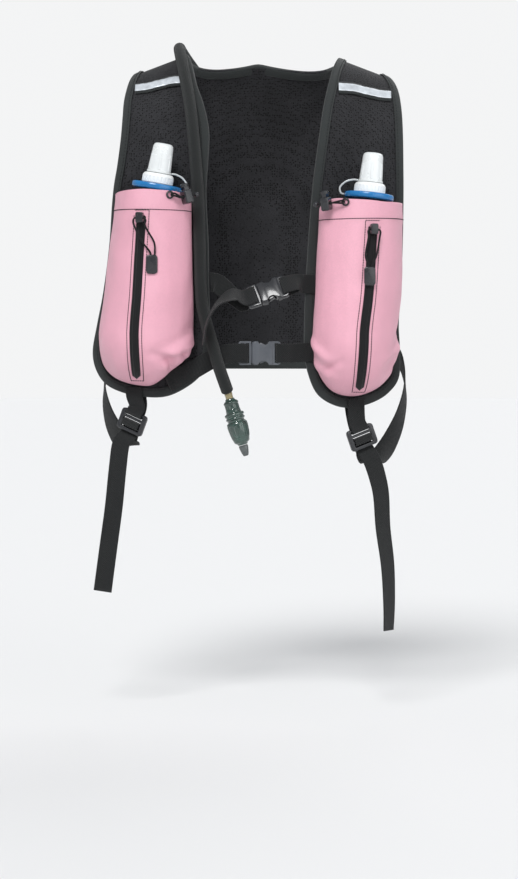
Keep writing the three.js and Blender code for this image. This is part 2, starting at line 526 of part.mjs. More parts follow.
// A frame with z along an axis and y as near as can be to a facing direction.
function standAt(origin, axis, facing) {
  const z = axis.clone().normalize(), y = facing.clone().addScaledVector(z, -facing.dot(z)).normalize(),
    group = new THREE.Group();
  group.position.copy(origin);
  group.quaternion.setFromRotationMatrix(new THREE.Matrix4().makeBasis(y.clone().cross(z), y, z));
  vest.add(group);
  group.updateMatrixWorld(true);
  return group;
}

// Soft flasks: a body in the pocket, a collar over its mouth, a cap, a cover and the cover's tether.
const FLASK = { // collar's middle and the body's foot: x and drop; the mouth is where the body meets the collar
  right: { collar: spot([-0.5994, 0.3895]), foot: spot([-0.6685, 0.854]), tether: -1, mouth: -5.8,
    behind: 3.9 },
  left: { collar: spot([0.6556, 0.4168]), foot: spot([0.5843, 0.8815]), tether: 1, mouth: -4.5, behind: 4.6 },
};
for (const [side, { collar, foot, tether, mouth, behind }] of Object.entries(FLASK)) {
  const axisLift = FLASK_WIDTH / 2 * 0.76 + behind, top = ahead(...collar, axisLift), low = ahead(...foot,
    axisLift);
  const lean = side === "right" ? 9.8 : 5.9;
  const axis = v3(Math.sin(lean * RAD), top.clone().sub(low).normalize().y, Math.cos(lean * RAD)).normalize();
  const stand = standAt(top, axis, v3(0, -1, 0));
  const r = FLASK_WIDTH / 2, body = standAt(top, top.clone().sub(low), v3(0, -1, 0));
  add("flask_body_" + side, lathe([[0, -168], [r * 0.6, -166], [r * 0.86, -156], [r, -135], [r, -95],
    [r * 0.92, -50], [r * 0.76, -18], [r * 0.68, mouth], [0, mouth]], 16).scale(1, 0.76, 1), CLEAR, body);
  const c = COLLAR_WIDTH / 2, k = CAP_WIDTH / 2, n = COVER_WIDTH / 2;
  add("flask_collar_" + side, lathe([[0, -3.5], [c - 1.5, -3.5], [c, -2], [c, 2], [c - 1.5, 3.5], [0, 3.5]],
    20), BLUE, stand);
  add("flask_cap_" + side, lathe([[0, 3.8], [k, 3.8], [k, 12], [k - 1.6, 14.4], [0, 14.4]], 18), WHITE,
    stand);
  add("flask_cover_" + side, lathe([[0, 14.7], [n, 14.7], [n, 17], [n - 1.4, 34], [n - 2.6, 41], [n - 6,
    45.2], [0, 46.5]], 16), WHITE, stand);
  const t = (x, z) => stand.localToWorld(v3(x * tether, 0, z));
  add("cover_tether_" + side, tube([t(n + 0.45, 16), t(n + 5, 16), t(n + 13, 13.5), t(c + 5.5, 7), t(c + 4,
    0.8), t(c + 0.4, 0)], 2, 10, 6), CLEAR);
}

// Reflective tape on a black carrier band across each shoulder, between the bindings.
for (const [side, from, to] of [["right", spot([-0.7388, 0.0661]), spot([-0.4450, 0.0826])],
  ["left", spot([0.4860, 0.0992]), spot([0.8022, 0.0813])]]) {
  const strip = (height, low, high) => {
    const grid = (lift) => [1, -1].map((way) => [0, 0.2, 0.4, 0.6, 0.8, 1].map((t) => {
      const x = between(from[0], to[0], t), q = turnOf(between(from[1], to[1], t));
      return lifted(...moved(x, q, stepQ(x, q).normalize().negate(), way * height / 2), lift);
    }));
    return sheet(grid(high), grid(low));
  };
  add("reflective_band_" + side, strip(BAND_HEIGHT, 0.6, 1.5), BLACK_WEB);
  add("reflective_tape_" + side, strip(REFLECTIVE_HEIGHT, 1.9, 2.4), SILVER);
}

// Side-release buckles, closed: the prong plate with its two web bars, and the socket.
const BUCKLES = {
  upper: { at: [0.0506, -1.0268, -0.6942], turn: 18, roll: 30 },
  lower: { at: [0.0084, -1, -0.8705], turn: 0, roll: 0 },
};
const buckleFrame = {};
const chest = ([x, y, z, ...more]) => [x * HALF_WIDTH, y * CHEST_DEPTH, z * FRONT_LENGTH, ...more];
for (const [name, { at, turn, roll }] of Object.entries(BUCKLES)) {
  const x = v3(Math.cos(turn * RAD), 0, Math.sin(turn * RAD)), up = v3(-x.z, 0, x.x);
  const frame = frameAt(v3(...chest(at)), x, up.multiplyScalar(Math.cos(roll * RAD)).add(v3(0,
    Math.sin(roll * RAD), 0)));
  const h = BUCKLE_WIDTH / 2, e = BUCKLE_LENGTH / 2, s = SOCKET_THICK / 2, web = WEB_WIDTH / 2 + 0.4;
  const half = [[-e + 2, -h], [-8.8, -h], [-8.8, -8.2], [-1, -8.2], [1, -11], [7, -8.6], [9.5, -6.4], [9.5,
    -5.2], [-5.5, -5.2], [-5.5, -1.5], [7, -1.5]];
  const outline = [...half, ...half.toReversed().map(([px, py]) => [px, -py]), [-e, h - 2], [-e, 2 - h]];
  add(name + "_buckle_prong", plate(outline, [
    rectangle(-20, -16.6, -web, web), rectangle(-14, -10.8, -web - 0.2, web + 0.2),
  ], PRONG_THICK, 0), BLACK_PLASTIC, frame);
  const notch = (way) => lathe([[0, -6], [NOTCH, -6], [NOTCH, 6], [0, 6]], 20).translate(4.2, way * (h + 1.6), 0);
  add(name + "_buckle_socket", cut(plate(cornered(-8.4, e, -h, h, 3), [], SOCKET_THICK, 1.2), [
    box(-12, 11, -9.2, 9.2, -2.8, 2.8), box(-0.9, 8.5, -h - 1, h + 1, -2.8, 2.8), notch(1), notch(-1),
    box(16, 19.4, -web, web, -9, 9),
    box(13.6, e + 1, -h - 1, h + 1, 2.5, s + 1), box(13.6, e + 1, -h - 1, h + 1, -s - 1, -2.5),
  ]), BLACK_PLASTIC, frame);
  buckleFrame[name] = frame;
}

// Webbing. A station is a point and the direction of the width.
const upright = v3(0, 0, 1);
const free = (x, y, z, side = upright) => ({ point: v3(x, y, z), side });
const OVER = GAP + TAPE + GAP + WEB / 2; // middle of a web that lies on the binding
function laid(x, drop, lift = OVER, side = upright) {
  const out = outward(x, turnOf(drop));
  return { point: on(x, drop, lift), side: side.clone().addScaledVector(out, -side.dot(out)).normalize() };
}
const inFrame = (frame, points) => {
  const side = v3(0, 1, 0).applyQuaternion(frame.quaternion);
  return points.map(([x, z]) => ({ point: frame.localToWorld(v3(x, 0, z)), side }));
};
const upper = buckleFrame.upper, lower = buckleFrame.lower;
const ROUND_BAR = [[-24, -3.8], [-14.4, -3.8], [-13, -3.3], [-12.4, -2.2], [-12.4, 2.2], [-13, 3.3], [-14.4,
  3.8], [-24, 3.8]];
const ROUND_END = [[34, 1], [26, 3.3], [20.2, 3.9], [18.6, 3.4], [17.9, 2.2], [17.9, -2.2], [18.6, -3.4],
  [20.2, -3.9], [26, -3.6], [33, -2.6]];
// The upper right strap: from the panel to its bar, and from the bar to its free end, each place in shares
// of HALF_WIDTH, CHEST_DEPTH and FRONT_LENGTH with the direction of its width.
const through = (table) => table.map((row) => {
  const [x, y, z, ...side] = chest(row);
  return free(x, y, z, v3(...side).normalize());
});
const FROM_PANEL = [
  [-0.2826, -0.9554, -0.6639, 0, 0, 1],
  [-0.2674, -0.9589, -0.6642, 0, 0, 1],
  [-0.2275, -0.971, -0.672, -0.05, 0.1, 0.99],
];
const LOOSE_END = [
  [-0.1348, -1.0982, -0.7025, -0.2, 0.72, 0.66],
  [-0.1882, -1.1607, -0.7135, -0.25, 0.9, 0.35],
  [-0.2388, -1.2143, -0.7314, -0.2, 0.97, 0.1],
  [-0.2781, -1.25, -0.7576, -0.15, 0.98, 0],
  [-0.3062, -1.2634, -0.7934, -0.12, 0.99, 0],
  [-0.323, -1.2634, -0.8485, -0.1, 0.99, 0],
];
add("upper_strap_right", ribbon([
  ...through(FROM_PANEL), ...inFrame(upper, [[-29, -4.8]]), ...inFrame(upper, ROUND_BAR), ...through(LOOSE_END),
], WEB_WIDTH, WEB), BLACK_WEB);
add("upper_strap_left", ribbon([
  laid(...spot([0.3382, 0.6694])), laid(...spot([0.2871, 0.6694])),
  ...through([[0.2612, -1.0054, -0.668, 0, 0, 1]]), ...inFrame(upper, ROUND_END),
], WEB_WIDTH, WEB), BLACK_WEB);
const slant = v3(-0.436, 0, 0.9);
add("lower_strap_right", ribbon([
  laid(...spot([-0.5337, 0.9587]), OVER, slant), laid(...spot([-0.4494, 0.938]), OVER, slant),
    laid(...spot([-0.3708, 0.916]), OVER, slant), laid(...spot([-0.309, 0.8981]), OVER, slant),
  free(...chest([-0.2584, -1, -0.8837]), v3(-0.3, 0, 0.95)), free(...chest([-0.2079, -1.0125, -0.8747]),
    v3(-0.1, 0, 1)),
  ...inFrame(lower, ROUND_BAR.toReversed()), ...inFrame(lower, [[-33, -2.6]]),
], WEB_WIDTH, WEB), BLACK_WEB);
add("lower_strap_left", ribbon([
  laid(...spot([0.3315, 0.8678])), laid(...spot([0.2809, 0.8678])), free(...chest([0.2472, -1.0018,
    -0.8691])), ...inFrame(lower, ROUND_END),
], WEB_WIDTH, WEB), BLACK_WEB);

// Hem tabs, ladder locks and side straps with their hanging tails.
const behind = ([x, drop]) => [x * HALF_WIDTH, drop * BACK_LENGTH];
const HEM = {
  right: {
    at: spot([-0.7584, 1.073]), tilt: 22, hem: spot([-0.736, 0.9953]),
    back: [[-0.7697, -0.5893, -1.1433, 0.95, 0.3, 0], [-0.8034, -0.4643, -1.1405, 0.8, 0.3, 0.5], [-0.8596,
      -0.3036, -1.1129, 0.5, 0, 0.8], [-0.9213, -0.1071, -1.0579, 0.3, -0.3, 0.9],
      [-0.9551, 0.1071, -0.9862, 0.1, -0.4, 0.9], [-0.9382, 0.3393, -0.9174, 0, -0.3, 0.95], [-0.8539, 0.5625,
        -0.8567, 0, -0.1, 1]].map(chest),
    anchor: [[-0.7809, -0.9075], [-0.7191, -0.9015], [-0.6404, -0.8955]].map(behind),
    tail: [[-0.8202, -0.7321, -1.135], [-0.8427, -0.7232, -1.2121], [-0.8652, -0.7232, -1.3223], [-0.8989,
      -0.7232, -1.4463], [-0.9326, -0.7232, -1.5716]].map(chest),
    tailSides: [[0.95, -0.3, -0.2], [0.97, -0.2, -0.12]],
  },
  left: {
    at: spot([0.6236, 1.1174]), tilt: -20, hem: spot([0.5803, 1.0298]),
    back: [[0.6798, -0.6786, -1.1901, 0.95, -0.3, 0], [0.7303, -0.5179, -1.1791, 0.8, -0.3, -0.5], [0.8034,
      -0.3214, -1.135, 0.5, 0, -0.8], [0.8764, -0.0893, -1.0634, 0.3, 0.3, -0.9],
      [0.9157, 0.1607, -0.9807, 0.1, 0.4, -0.9], [0.8989, 0.3929, -0.9036, 0, 0.3, -0.95], [0.8371, 0.5536,
        -0.8567, 0, 0.1, -1]].map(chest),
    anchor: [[0.7809, -0.9075], [0.7191, -0.9015], [0.6404, -0.8955]].map(behind),
    tail: [[0.6798, -0.8214, -1.1846], [0.7135, -0.8125, -1.2342], [0.736, -0.8036, -1.2893], [0.7472,
      -0.7946, -1.3829], [0.7753, -0.7857, -1.4931], [0.7843, -0.7768, -1.6033], [0.7809, -0.7768,
      -1.6846]].map(chest),
    tailSides: [[0.95, 0.3, 0.25], [0.55, 0.82, 0.02]],
  },
};
for (const [side, { at, tilt, hem, back, anchor, tail, tailSides }] of Object.entries(HEM)) {
  const q = turnOf(at[1]), out = outward(at[0], q), flat = upright.clone().cross(out).negate().normalize();
  const x = flat.clone().negate(), lean = tilt * RAD;
  const across = x.clone().multiplyScalar(Math.cos(lean)).addScaledVector(upright, -Math.sin(lean));
  const up = x.clone().multiplyScalar(Math.sin(lean)).addScaledVector(upright, Math.cos(lean));
  const frame = frameAt(lifted(at[0], q, -2), across, up);
  const w = LOCK_WIDTH / 2, h = LOCK_HEIGHT / 2, web = WEB_WIDTH / 2 + 0.6;
  add("ladder_lock_" + side, plate(cornered(-w, w, -h, h, 3), [rectangle(-web, web, 5.3, 8.9), rectangle(-web,
    web, -1.1, 2.7), rectangle(-web, web, -7.7, -3.9)], LOCK_THICK, 0.5), BLACK_PLASTIC, frame);
  const stations = (points) => points.map(([y, z]) => ({ point: frame.localToWorld(v3(0, y, z)),
    side: across }));
  add("hem_tab_" + side, ribbon([
    laid(hem[0], hem[1] - 9, OVER, x), laid(hem[0], hem[1], OVER, x),
    ...stations([[18, 2], [12, 3.4], [10, 3.6], [7.9, 3.4], [7.05, 2.4], [7.05, -2.4], [7.9, -3.4], [10,
      -3.6], [12, -3.4], [18, -2.4]]),
    laid(hem[0], hem[1], -7, x), laid(hem[0], hem[1] - 9, -7, x),
  ], WEB_WIDTH - 1, WEB), BLACK_WEB);
  const sideAt = (i) => v3(...tailSides[0]).lerp(v3(...tailSides[1]), i / (tail.length - 1));
  add("side_strap_" + side, ribbon([
    ...anchor.toReversed().map(([ax, drop]) => laid(ax, drop, OVER + 0.5, v3(0, 0,
      side === "right" ? 1 : -1))),
    ...back.toReversed().map(([bx, by, bz, ...s]) => free(bx, by, bz, v3(...s))),
    ...stations([[-20, -8], [-15, -6], [-9.6, -5.2], [-4.5, -4.5], [-1.5, -3.8], [0.2, -3.3], [0.8, -2.2],
      [0.8, 2.2], [0.1, 3.3], [-1.3, 3.7],
      [-3.7, 3.7], [-5.1, 3.3], [-5.8, 2.2], [-5.8, -1.4], [-6.6, -2.8], [-8.4, -3.3], [-11.5, -3.3], [-13.5,
        -2.9]]),
    ...tail.map(([tx, ty, tz], i) => free(tx, ty, tz, sideAt(i))),
  ], WEB_WIDTH, WEB), BLACK_WEB);
}

// The drinking hose: x, drop (backwards below 0) and lift of its middle line, chosen by hand.
const HOSE_ROUTE = [
  [-25, -111.4, 7.5], [-27, -90, 8.6], [-37, -66, 10], [-52, -42, 10.4], [-66, -22, 10.2], [-76, -9, 10],
    [-81.5, -1.5, 9.8],
  [-82.5, 1.5, 9.6], [-80.5, 12, 9.4], [-76.5, 30, 9.4], [-71, 58, 9.3], [-67, 88, 9.1], [-63.4, 127, 9],
    [-61, 165, 9], [-60, 208, 9],
  [-58.4, 255, 9.2], [-54.5, 278, 11], [-48.4, 299.5, 13.4], [-44, 315, 14.2], [-39.8, 330, 14.2], [-31.2,
    355.7, 13.2], [-30.2, 359.2, 13.1],
];
const hosePoints = HOSE_ROUTE.map((row) => on(...row));
add("hose", tube(hosePoints, HOSE_WIDTH, 30, 10), SLEEVE);
{
  const end = hosePoints.at(-1), way = v3(18.6, -2, -64).normalize();
  const stand = standAt(end.clone().addScaledVector(way, GAP), way, v3(0, -1, 0));
  const r = VALVE_WIDTH / 2, tip = VALVE_LENGTH - 12;
  add("bite_valve_body", lathe([[0, 0], [4.25, 0], [4.25, 7], [8, 8], [8, 20], [10.5, 21], [10.5, 27], [8.6,
    28], [8.6, 31], [10.5, 32], [r, 36], [r, 45], [8.6, 51.5], [5.6, 53], [5.6, tip], [0, tip]], 14),
    GREY_GREEN, stand);
  const oval = [...Array(14).keys()].map((i) => [5 * Math.cos(i / 7 * Math.PI),
    3.4 * Math.sin(i / 7 * Math.PI)]);
  add("bite_valve_tip", plate(oval, [], 12 - GAP, 1).translate(0, 0, tip + GAP + (12 - GAP) / 2), SLEEVE,
    stand);
}

// On the back: an open-topped pocket and the reservoir that the hose comes from.
const RESERVOIR_WIDTH = 190, RESERVOIR_TOP = BACK_LENGTH * 0.2627, RESERVOIR_LOW = BACK_LENGTH * 0.9373,
  RESERVOIR_CROWN = 27;
{
  const angles = [180, 162, 144, 122, 100, 80, 58, 36, 18, 0];
  const shell = (wall) => {
    const half = RESERVOIR_WIDTH / 2 - wall, crown = RESERVOIR_CROWN - wall, last = BACK_LENGTH * 0.8209,
      low = RESERVOIR_LOW - wall;
    const spot = (turn, drop, tall, narrow) => on(half * narrow * Math.cos(turn * RAD), -drop,
      GAP + crown * tall * Math.sin(turn * RAD) ** 0.75);
    return [...[0, 0.1444, 0.3316, 0.5989, 1].map((t) => between(RESERVOIR_TOP, last,
      t)).map((drop) => angles.map((turn) => spot(turn, drop, drop === RESERVOIR_TOP ? 0.9 : 1, 1))),
      ...ROUNDING.map((way) => angles.map((turn) => spot(turn, between(last, low, Math.sin(way * RAD)),
        Math.cos(way * RAD), between(0.88, 1, Math.cos(way * RAD)))))];
  };
  add("reservoir_pocket", sheet(shell(0), shell(CLOTH)), BLACK_MESH);
  const across = [-1, -0.85, -0.6, -0.3, 0, 0.3, 0.6, 0.85, 1], downs = [[0.1062, 0.62], [0.1637, 0.8],
    [0.3186, 1], [0.5841, 1], [0.7699, 0.8], [0.8938, 0.3]];
  const bladder = (full) => downs.map(([drop, thick]) => across.map((c) => on(c * RESERVOIR_WIDTH * 0.379,
    -between(RESERVOIR_TOP, RESERVOIR_LOW, drop), full ? 2.6 + 17 * thick * (1 - c ** 4) : 0.6)));
  add("reservoir", sheet(bladder(true), bladder(false)), CLEAR);
}

export default vest;
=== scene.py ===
# A running hydration vest in its worn form. Right and left are the wearer's, and the front faces -Y.
import bpy
import math
from mathutils import Matrix, Vector, noise


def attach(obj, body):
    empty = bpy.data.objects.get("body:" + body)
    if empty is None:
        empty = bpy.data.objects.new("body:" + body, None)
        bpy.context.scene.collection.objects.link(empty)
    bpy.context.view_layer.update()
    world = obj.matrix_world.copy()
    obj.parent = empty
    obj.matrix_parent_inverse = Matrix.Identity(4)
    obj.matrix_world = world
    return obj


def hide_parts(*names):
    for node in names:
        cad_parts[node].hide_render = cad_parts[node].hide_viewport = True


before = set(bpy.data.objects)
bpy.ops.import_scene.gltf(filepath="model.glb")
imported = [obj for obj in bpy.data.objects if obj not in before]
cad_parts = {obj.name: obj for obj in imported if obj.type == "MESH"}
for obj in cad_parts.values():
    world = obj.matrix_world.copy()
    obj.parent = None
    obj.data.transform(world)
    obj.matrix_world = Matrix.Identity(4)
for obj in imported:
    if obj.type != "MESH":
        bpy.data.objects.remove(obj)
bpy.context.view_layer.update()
bpy.ops.object.select_all(action="DESELECT")


# Camera and studio
# The vest is seen from straight in front at chest height, above a pale floor and in large soft lights.
bpy.ops.object.camera_add(location=(0.001, -2.75, -0.30), rotation=(math.radians(90), 0, 0))
camera = bpy.context.object
camera.name = "camera"
camera.data.lens = 102.4
camera.data.sensor_width = 36
camera.data.shift_y = -0.1155
bpy.context.scene.camera = camera

bpy.ops.mesh.primitive_circle_add(vertices=64, radius=14, fill_type="NGON", location=(0, 0, -0.70))
floor = bpy.context.object
floor.name = "studio_floor"
bpy.ops.object.transform_apply(location=True, rotation=True, scale=True)
floor_paint = bpy.data.materials.new("pale_floor")
floor_paint.use_nodes = True
paint = floor_paint.node_tree.nodes["Principled BSDF"]
paint.inputs["Base Color"].default_value = (0.80, 0.80, 0.80, 1)
paint.inputs["Roughness"].default_value = 0.9
floor.data.materials.append(floor_paint)

world = bpy.data.worlds.new("soft_room")
world.use_nodes = True
room = world.node_tree
seen = room.nodes.new("ShaderNodeLightPath")
backdrop = room.nodes.new("ShaderNodeBackground")
backdrop.inputs["Color"].default_value = (0.86, 0.865, 0.87, 1)
backdrop.inputs["Strength"].default_value = 1.05
ambient = room.nodes["Background"]
ambient.inputs["Color"].default_value = (0.93, 0.96, 1.0, 1)
ambient.inputs["Strength"].default_value = 0.42
choose = room.nodes.new("ShaderNodeMixShader")
room.links.new(seen.outputs["Is Camera Ray"], choose.inputs[0])
room.links.new(ambient.outputs[0], choose.inputs[1])
room.links.new(backdrop.outputs[0], choose.inputs[2])
room.links.new(choose.outputs[0], room.nodes["World Output"].inputs["Surface"])
bpy.context.scene.world = world
bpy.context.scene.view_settings.view_transform = "Standard"


def far_light(name, come_from, softness, power):
    bpy.ops.object.light_add(type="SUN", location=(0, 0, 3))
    lamp = bpy.context.object
    lamp.name = name
    lamp.data.angle = math.radians(softness)
    lamp.data.energy = power
    lamp.rotation_euler = Vector(come_from).to_track_quat("Z", "Y").to_euler()


far_light("key_light", (-0.25, -1.0, 0.95), 24, 2.35)
far_light("fill_light", (1.0, -1.0, 0.3), 50, 0.85)
far_light("back_light", (0.5, 1.3, 0.9), 40, 0.9)


# Drinking hose
# A 13 mm hose in a knitted sleeve comes from the reservoir over the right shoulder, lies on the chest
# panel and hangs free from the upper strap. Its route is set on the worn form, which all cloth follows.
MM = 0.001
HALF_WIDTH = 178
SHOULDER_DROP = 150
FRONT_LENGTH = 363
CHEST_DEPTH = 112


def turn_of(drop):
    """Quarter turns from the shoulder line at a height below it, forwards above 0 and backwards below."""
    far = abs(drop) / SHOULDER_DROP
    return math.copysign(math.acos(1 - far) / (math.pi / 2) if far < 1 else far, drop)


def form_at(x, q):
    """The outer face of the padding, in millimetres."""
    far = abs(q)
    angle = min(far, 1) * math.pi / 2
    across = (abs(x) / HALF_WIDTH) ** 2.2
    depth = 50 * across - CHEST_DEPTH if q >= 0 else 95 - 44 * across
    seat = 10 - 0.38 * (abs(x) - 80)
    down = SHOULDER_DROP * (1 - math.cos(angle)) if far < 1 else SHOULDER_DROP * far
    return Vector((x, depth * math.sin(angle), seat * math.cos(angle) ** 2 - down))


def step_x(x, q):
    return form_at(x + 0.5, q) - form_at(x - 0.5, q)


def step_q(x, q):
    side = -1 if q < 0 else 1
    near = side * max(abs(q), 0.012)
    return (form_at(x, near + side * 0.01) - form_at(x, near - side * 0.01)) * (side / 0.02)


def outward(x, q):
    """The way straight out from the form."""
    return step_q(x, q).cross(step_x(x, q)).normalized()


def lifted(x, q, lift):
    return form_at(x, q) + outward(x, q) * lift


def on(x, drop, lift):
    """A place at a distance off the form, at a drop below the shoulder line."""
    return lifted(x, turn_of(drop), lift)


def between(p, t):
    """The smooth value between the middle two of four, at a share of the way."""
    return 0.5 * (2 * p[1] + (p[2] - p[0]) * t + (2 * p[0] - 5 * p[1] + 4 * p[2] - p[3]) * t ** 2
                  + (3 * p[1] - p[0] - 3 * p[2] + p[3]) * t ** 3)


def four_round(values, i):
    return [values[max(i - 1, 0)], values[i], values[i + 1], values[min(i + 2, len(values) - 1)]]


def curve_through(points, steps):
    """Places along a smooth line through the points, so many for each stretch between two of them."""
    line = [between(four_round(points, i), k / steps) for i in range(len(points) - 1) for k in range(steps)]
    return line + [points[-1]]


def cloth(name, rows, tube=False):
    """A grid of places in millimetres made one sheet, laid out flat in metres. A tube closes its rows."""
    bpy.ops.object.select_all(action="DESELECT")
    wide, tall = len(rows[0]), len(rows)
    bpy.ops.mesh.primitive_grid_add(x_subdivisions=wide - 1, y_subdivisions=tall - 1, size=1, calc_uvs=True)
    piece = bpy.context.object
    piece.name = piece.data.name = name
    for vertex, point in zip(piece.data.vertices, (p for row in rows for p in row)):
        vertex.co = point * MM
    middle_row, middle = rows[tall // 2], wide // 2
    u, v = [0.0], [0.0]
    for a, b in zip(middle_row, middle_row[1:]):
        u.append(u[-1] + (b - a).length * MM)
    for a, b in zip(rows, rows[1:]):
        v.append(v[-1] + max((b[middle] - a[middle]).length, (b[0] - a[0]).length) * MM)
    layer = piece.data.uv_layers.active.data
    for loop in piece.data.loops:
        row, column = divmod(loop.vertex_index, wide)
        layer[loop.index].uv = (u[column], v[row])
    if tube:
        opened(piece)
        bpy.ops.mesh.remove_doubles(threshold=0.00001)
        shut()
    bpy.ops.object.shade_smooth()
    return piece


def heading(line, i):
    """The way along a line at one of its places."""
    return line[min(i + 1, len(line) - 1)] - line[max(i - 1, 0)]


def apply(piece, kind, **settings):
    """Shapes a piece at once, by rounding, thickening or smoothing."""
    modifier = piece.modifiers.new(kind.lower(), kind)
    for key, value in settings.items():
        setattr(modifier, key, value)
    bpy.context.view_layer.objects.active = piece
    bpy.ops.object.modifier_apply(modifier=modifier.name)


def pick(piece):
    """Makes a piece the one that the next step works on."""
    bpy.ops.object.select_all(action="DESELECT")
    piece.select_set(True)
    bpy.context.view_layer.objects.active = piece


def opened(piece, action="SELECT"):
    """Opens a piece to be shaped, with all of it picked or none of it."""
    pick(piece)
    bpy.ops.object.mode_set(mode="EDIT")
    bpy.ops.mesh.select_all(action=action)


def shut():
    bpy.ops.object.mode_set(mode="OBJECT")


def flip(piece):
    opened(piece)
    bpy.ops.mesh.flip_normals()
    shut()


def face_out(piece, y=0):
    """Turns the faces outwards. An open sheet looks to the front with y below 0, to the back above 0."""
    opened(piece)
    bpy.ops.mesh.normals_make_consistent(inside=False)
    shut()
    if sum(f.normal.y * f.area for f in piece.data.polygons) * y < 0:
        flip(piece)


def close_ends(piece):
    """Fills the open ends of a tube."""
    opened(piece, "DESELECT")
    bpy.ops.mesh.select_non_manifold()
    bpy.ops.mesh.fill_holes(sides=0)
    shut()
    face_out(piece)


def finished(piece, material, replaced=None, body="root"):
    """Gives a piece its material and the body it moves with, and hides the solid that it stands for."""
    piece.data.materials.append(material)
    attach(piece, body)
    if replaced:
        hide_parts(replaced)


def tube_along(name, line, radius, sides):
    """A round tube with closed ends, through places in millimetres."""
    rows, up = [], Vector((0.3, -1, 0.2))
    turns = [k / sides * 2 * math.pi for k in range(sides + 1)]
    for i, middle in enumerate(line):
        along = heading(line, i).normalized()
        up = (up - along * up.dot(along)).normalized()
        across = along.cross(up)
        rows.append([middle + (across * math.cos(a) * radius + up * math.sin(a) * radius) for a in turns])
    piece = cloth(name, rows, tube=True)
    opened(piece, "DESELECT")
    bpy.ops.mesh.select_non_manifold()
    bpy.ops.mesh.edge_face_add()
    shut()
    close_ends(piece)
    return piece


def group_of(name, inputs, outputs):
    """A pattern with named inputs and outputs, and its two ends."""
    tree = bpy.data.node_groups.new(name, "ShaderNodeTree")
    for label, kind, value in inputs:
        socket = tree.interface.new_socket(label, in_out="INPUT", socket_type=kind)
        if value is not None:
            socket.default_value = value
    for label, kind in outputs:
        tree.interface.new_socket(label, in_out="OUTPUT", socket_type=kind)
    return tree, tree.nodes.new("NodeGroupInput"), tree.nodes.new("NodeGroupOutput")


def node(tree, kind, links=(), **settings):
    """A new step of a pattern or a finish, with its settings, its values and what is linked into it."""
    made = tree.nodes.new(kind)
    values = settings.pop("values", {})
    for key, value in settings.items():
        setattr(made, key, value)
    for key, value in values.items():
        made.inputs[key].default_value = value
    for key, source in dict(links).items():
        tree.links.new(source, made.inputs[key])
    return made


def maths(tree, operation, *terms):
    """Values worked on together: a term is a number or another step's output."""
    made = node(tree, "ShaderNodeMath", operation=operation)
    for i, term in enumerate(terms):
        if isinstance(term, float):
            made.inputs[i].default_value = term
        else:
            tree.links.new(term, made.inputs[i])
    return made.outputs[0]


# Threads that cross: fine ribs both ways of the cloth, raised in turn, with a little unevenness.
threads, given, result = group_of(
    "crossed_threads",
    [("Vector", "NodeSocketVector", None), ("Across", "NodeSocketFloat", 900),
     ("Along", "NodeSocketFloat", 900)],
    [("Height", "NodeSocketFloat"), ("Shade", "NodeSocketFloat")])
split = node(threads, "ShaderNodeSeparateXYZ", {"Vector": given.outputs["Vector"]})
across = maths(threads, "MULTIPLY", split.outputs["X"], given.outputs["Across"])
along = maths(threads, "MULTIPLY", split.outputs["Y"], given.outputs["Along"])
crossed = maths(threads, "MULTIPLY", maths(threads, "SINE", across), maths(threads, "SINE", along))
uneven = node(threads, "ShaderNodeTexNoise", {"Vector": given.outputs["Vector"]},
              values={"Scale": 420.0, "Detail": 3.0})
mixed = maths(threads, "MULTIPLY_ADD", uneven.outputs["Fac"], 0.7, crossed)
threads.links.new(mixed, result.inputs["Height"])
# Shade paints the raised threads lighter and the low ones darker: painted shade of the weave's relief, with a
# little random unevenness.
shade = node(threads, "ShaderNodeMapRange", {"Value": mixed},
             values={"From Min": -0.9, "From Max": 1.6, "To Min": 0.72, "To Max": 1.22})
threads.links.new(shade.outputs["Result"], result.inputs["Shade"])

# Wear: slow light and dark patches.
patches, given, result = group_of(
    "uneven_tone",
    [("Color", "NodeSocketColor", (0.5, 0.5, 0.5, 1)), ("Scale", "NodeSocketFloat", 18),
     ("Shade", "NodeSocketFloat", 1), ("Low", "NodeSocketFloat", 0.88), ("High", "NodeSocketFloat", 1.12)],
    [("Color", "NodeSocketColor"), ("Mask", "NodeSocketFloat")])
spot = node(patches, "ShaderNodeTexCoord")
cloud = node(patches, "ShaderNodeTexNoise",
             {"Vector": spot.outputs["Object"], "Scale": given.outputs["Scale"]},
             values={"Detail": 5.0, "Roughness": 0.6})
level = node(patches, "ShaderNodeMapRange",
             {"Value": cloud.outputs["Fac"], "To Min": given.outputs["Low"], "To Max": given.outputs["High"]},
             values={"From Min": 0.3, "From Max": 0.7})
both = maths(patches, "MULTIPLY", level.outputs["Result"], given.outputs["Shade"])
scaled = node(patches, "ShaderNodeVectorMath", {0: given.outputs["Color"], "Scale": both}, operation="SCALE")
patches.links.new(scaled.outputs["Vector"], result.inputs["Color"])
patches.links.new(cloud.outputs["Fac"], result.inputs["Mask"])


def toned(name, color, patch, low, high):
    """A new material whose tone varies in slow patches, with the steps that a finish builds on."""
    material = bpy.data.materials.new(name)
    material.use_nodes = True
    tree = material.node_tree
    shader = tree.nodes["Principled BSDF"]
    spot = node(tree, "ShaderNodeTexCoord")
    tone = node(tree, "ShaderNodeGroup", node_tree=patches)
    for label, value in (("Color", (*color, 1)), ("Scale", patch), ("Low", low), ("High", high)):
        tone.inputs[label].default_value = value
    tree.links.new(tone.outputs["Color"], shader.inputs["Base Color"])
    return material, tree, shader, spot, tone


def in_relief(tree, shader, height, strength, depth):
    """Fine relief, with its depth in metres."""
    bump = node(tree, "ShaderNodeBump", {"Height": height}, values={"Strength": strength, "Distance": depth})
    tree.links.new(bump.outputs["Normal"], shader.inputs["Normal"])


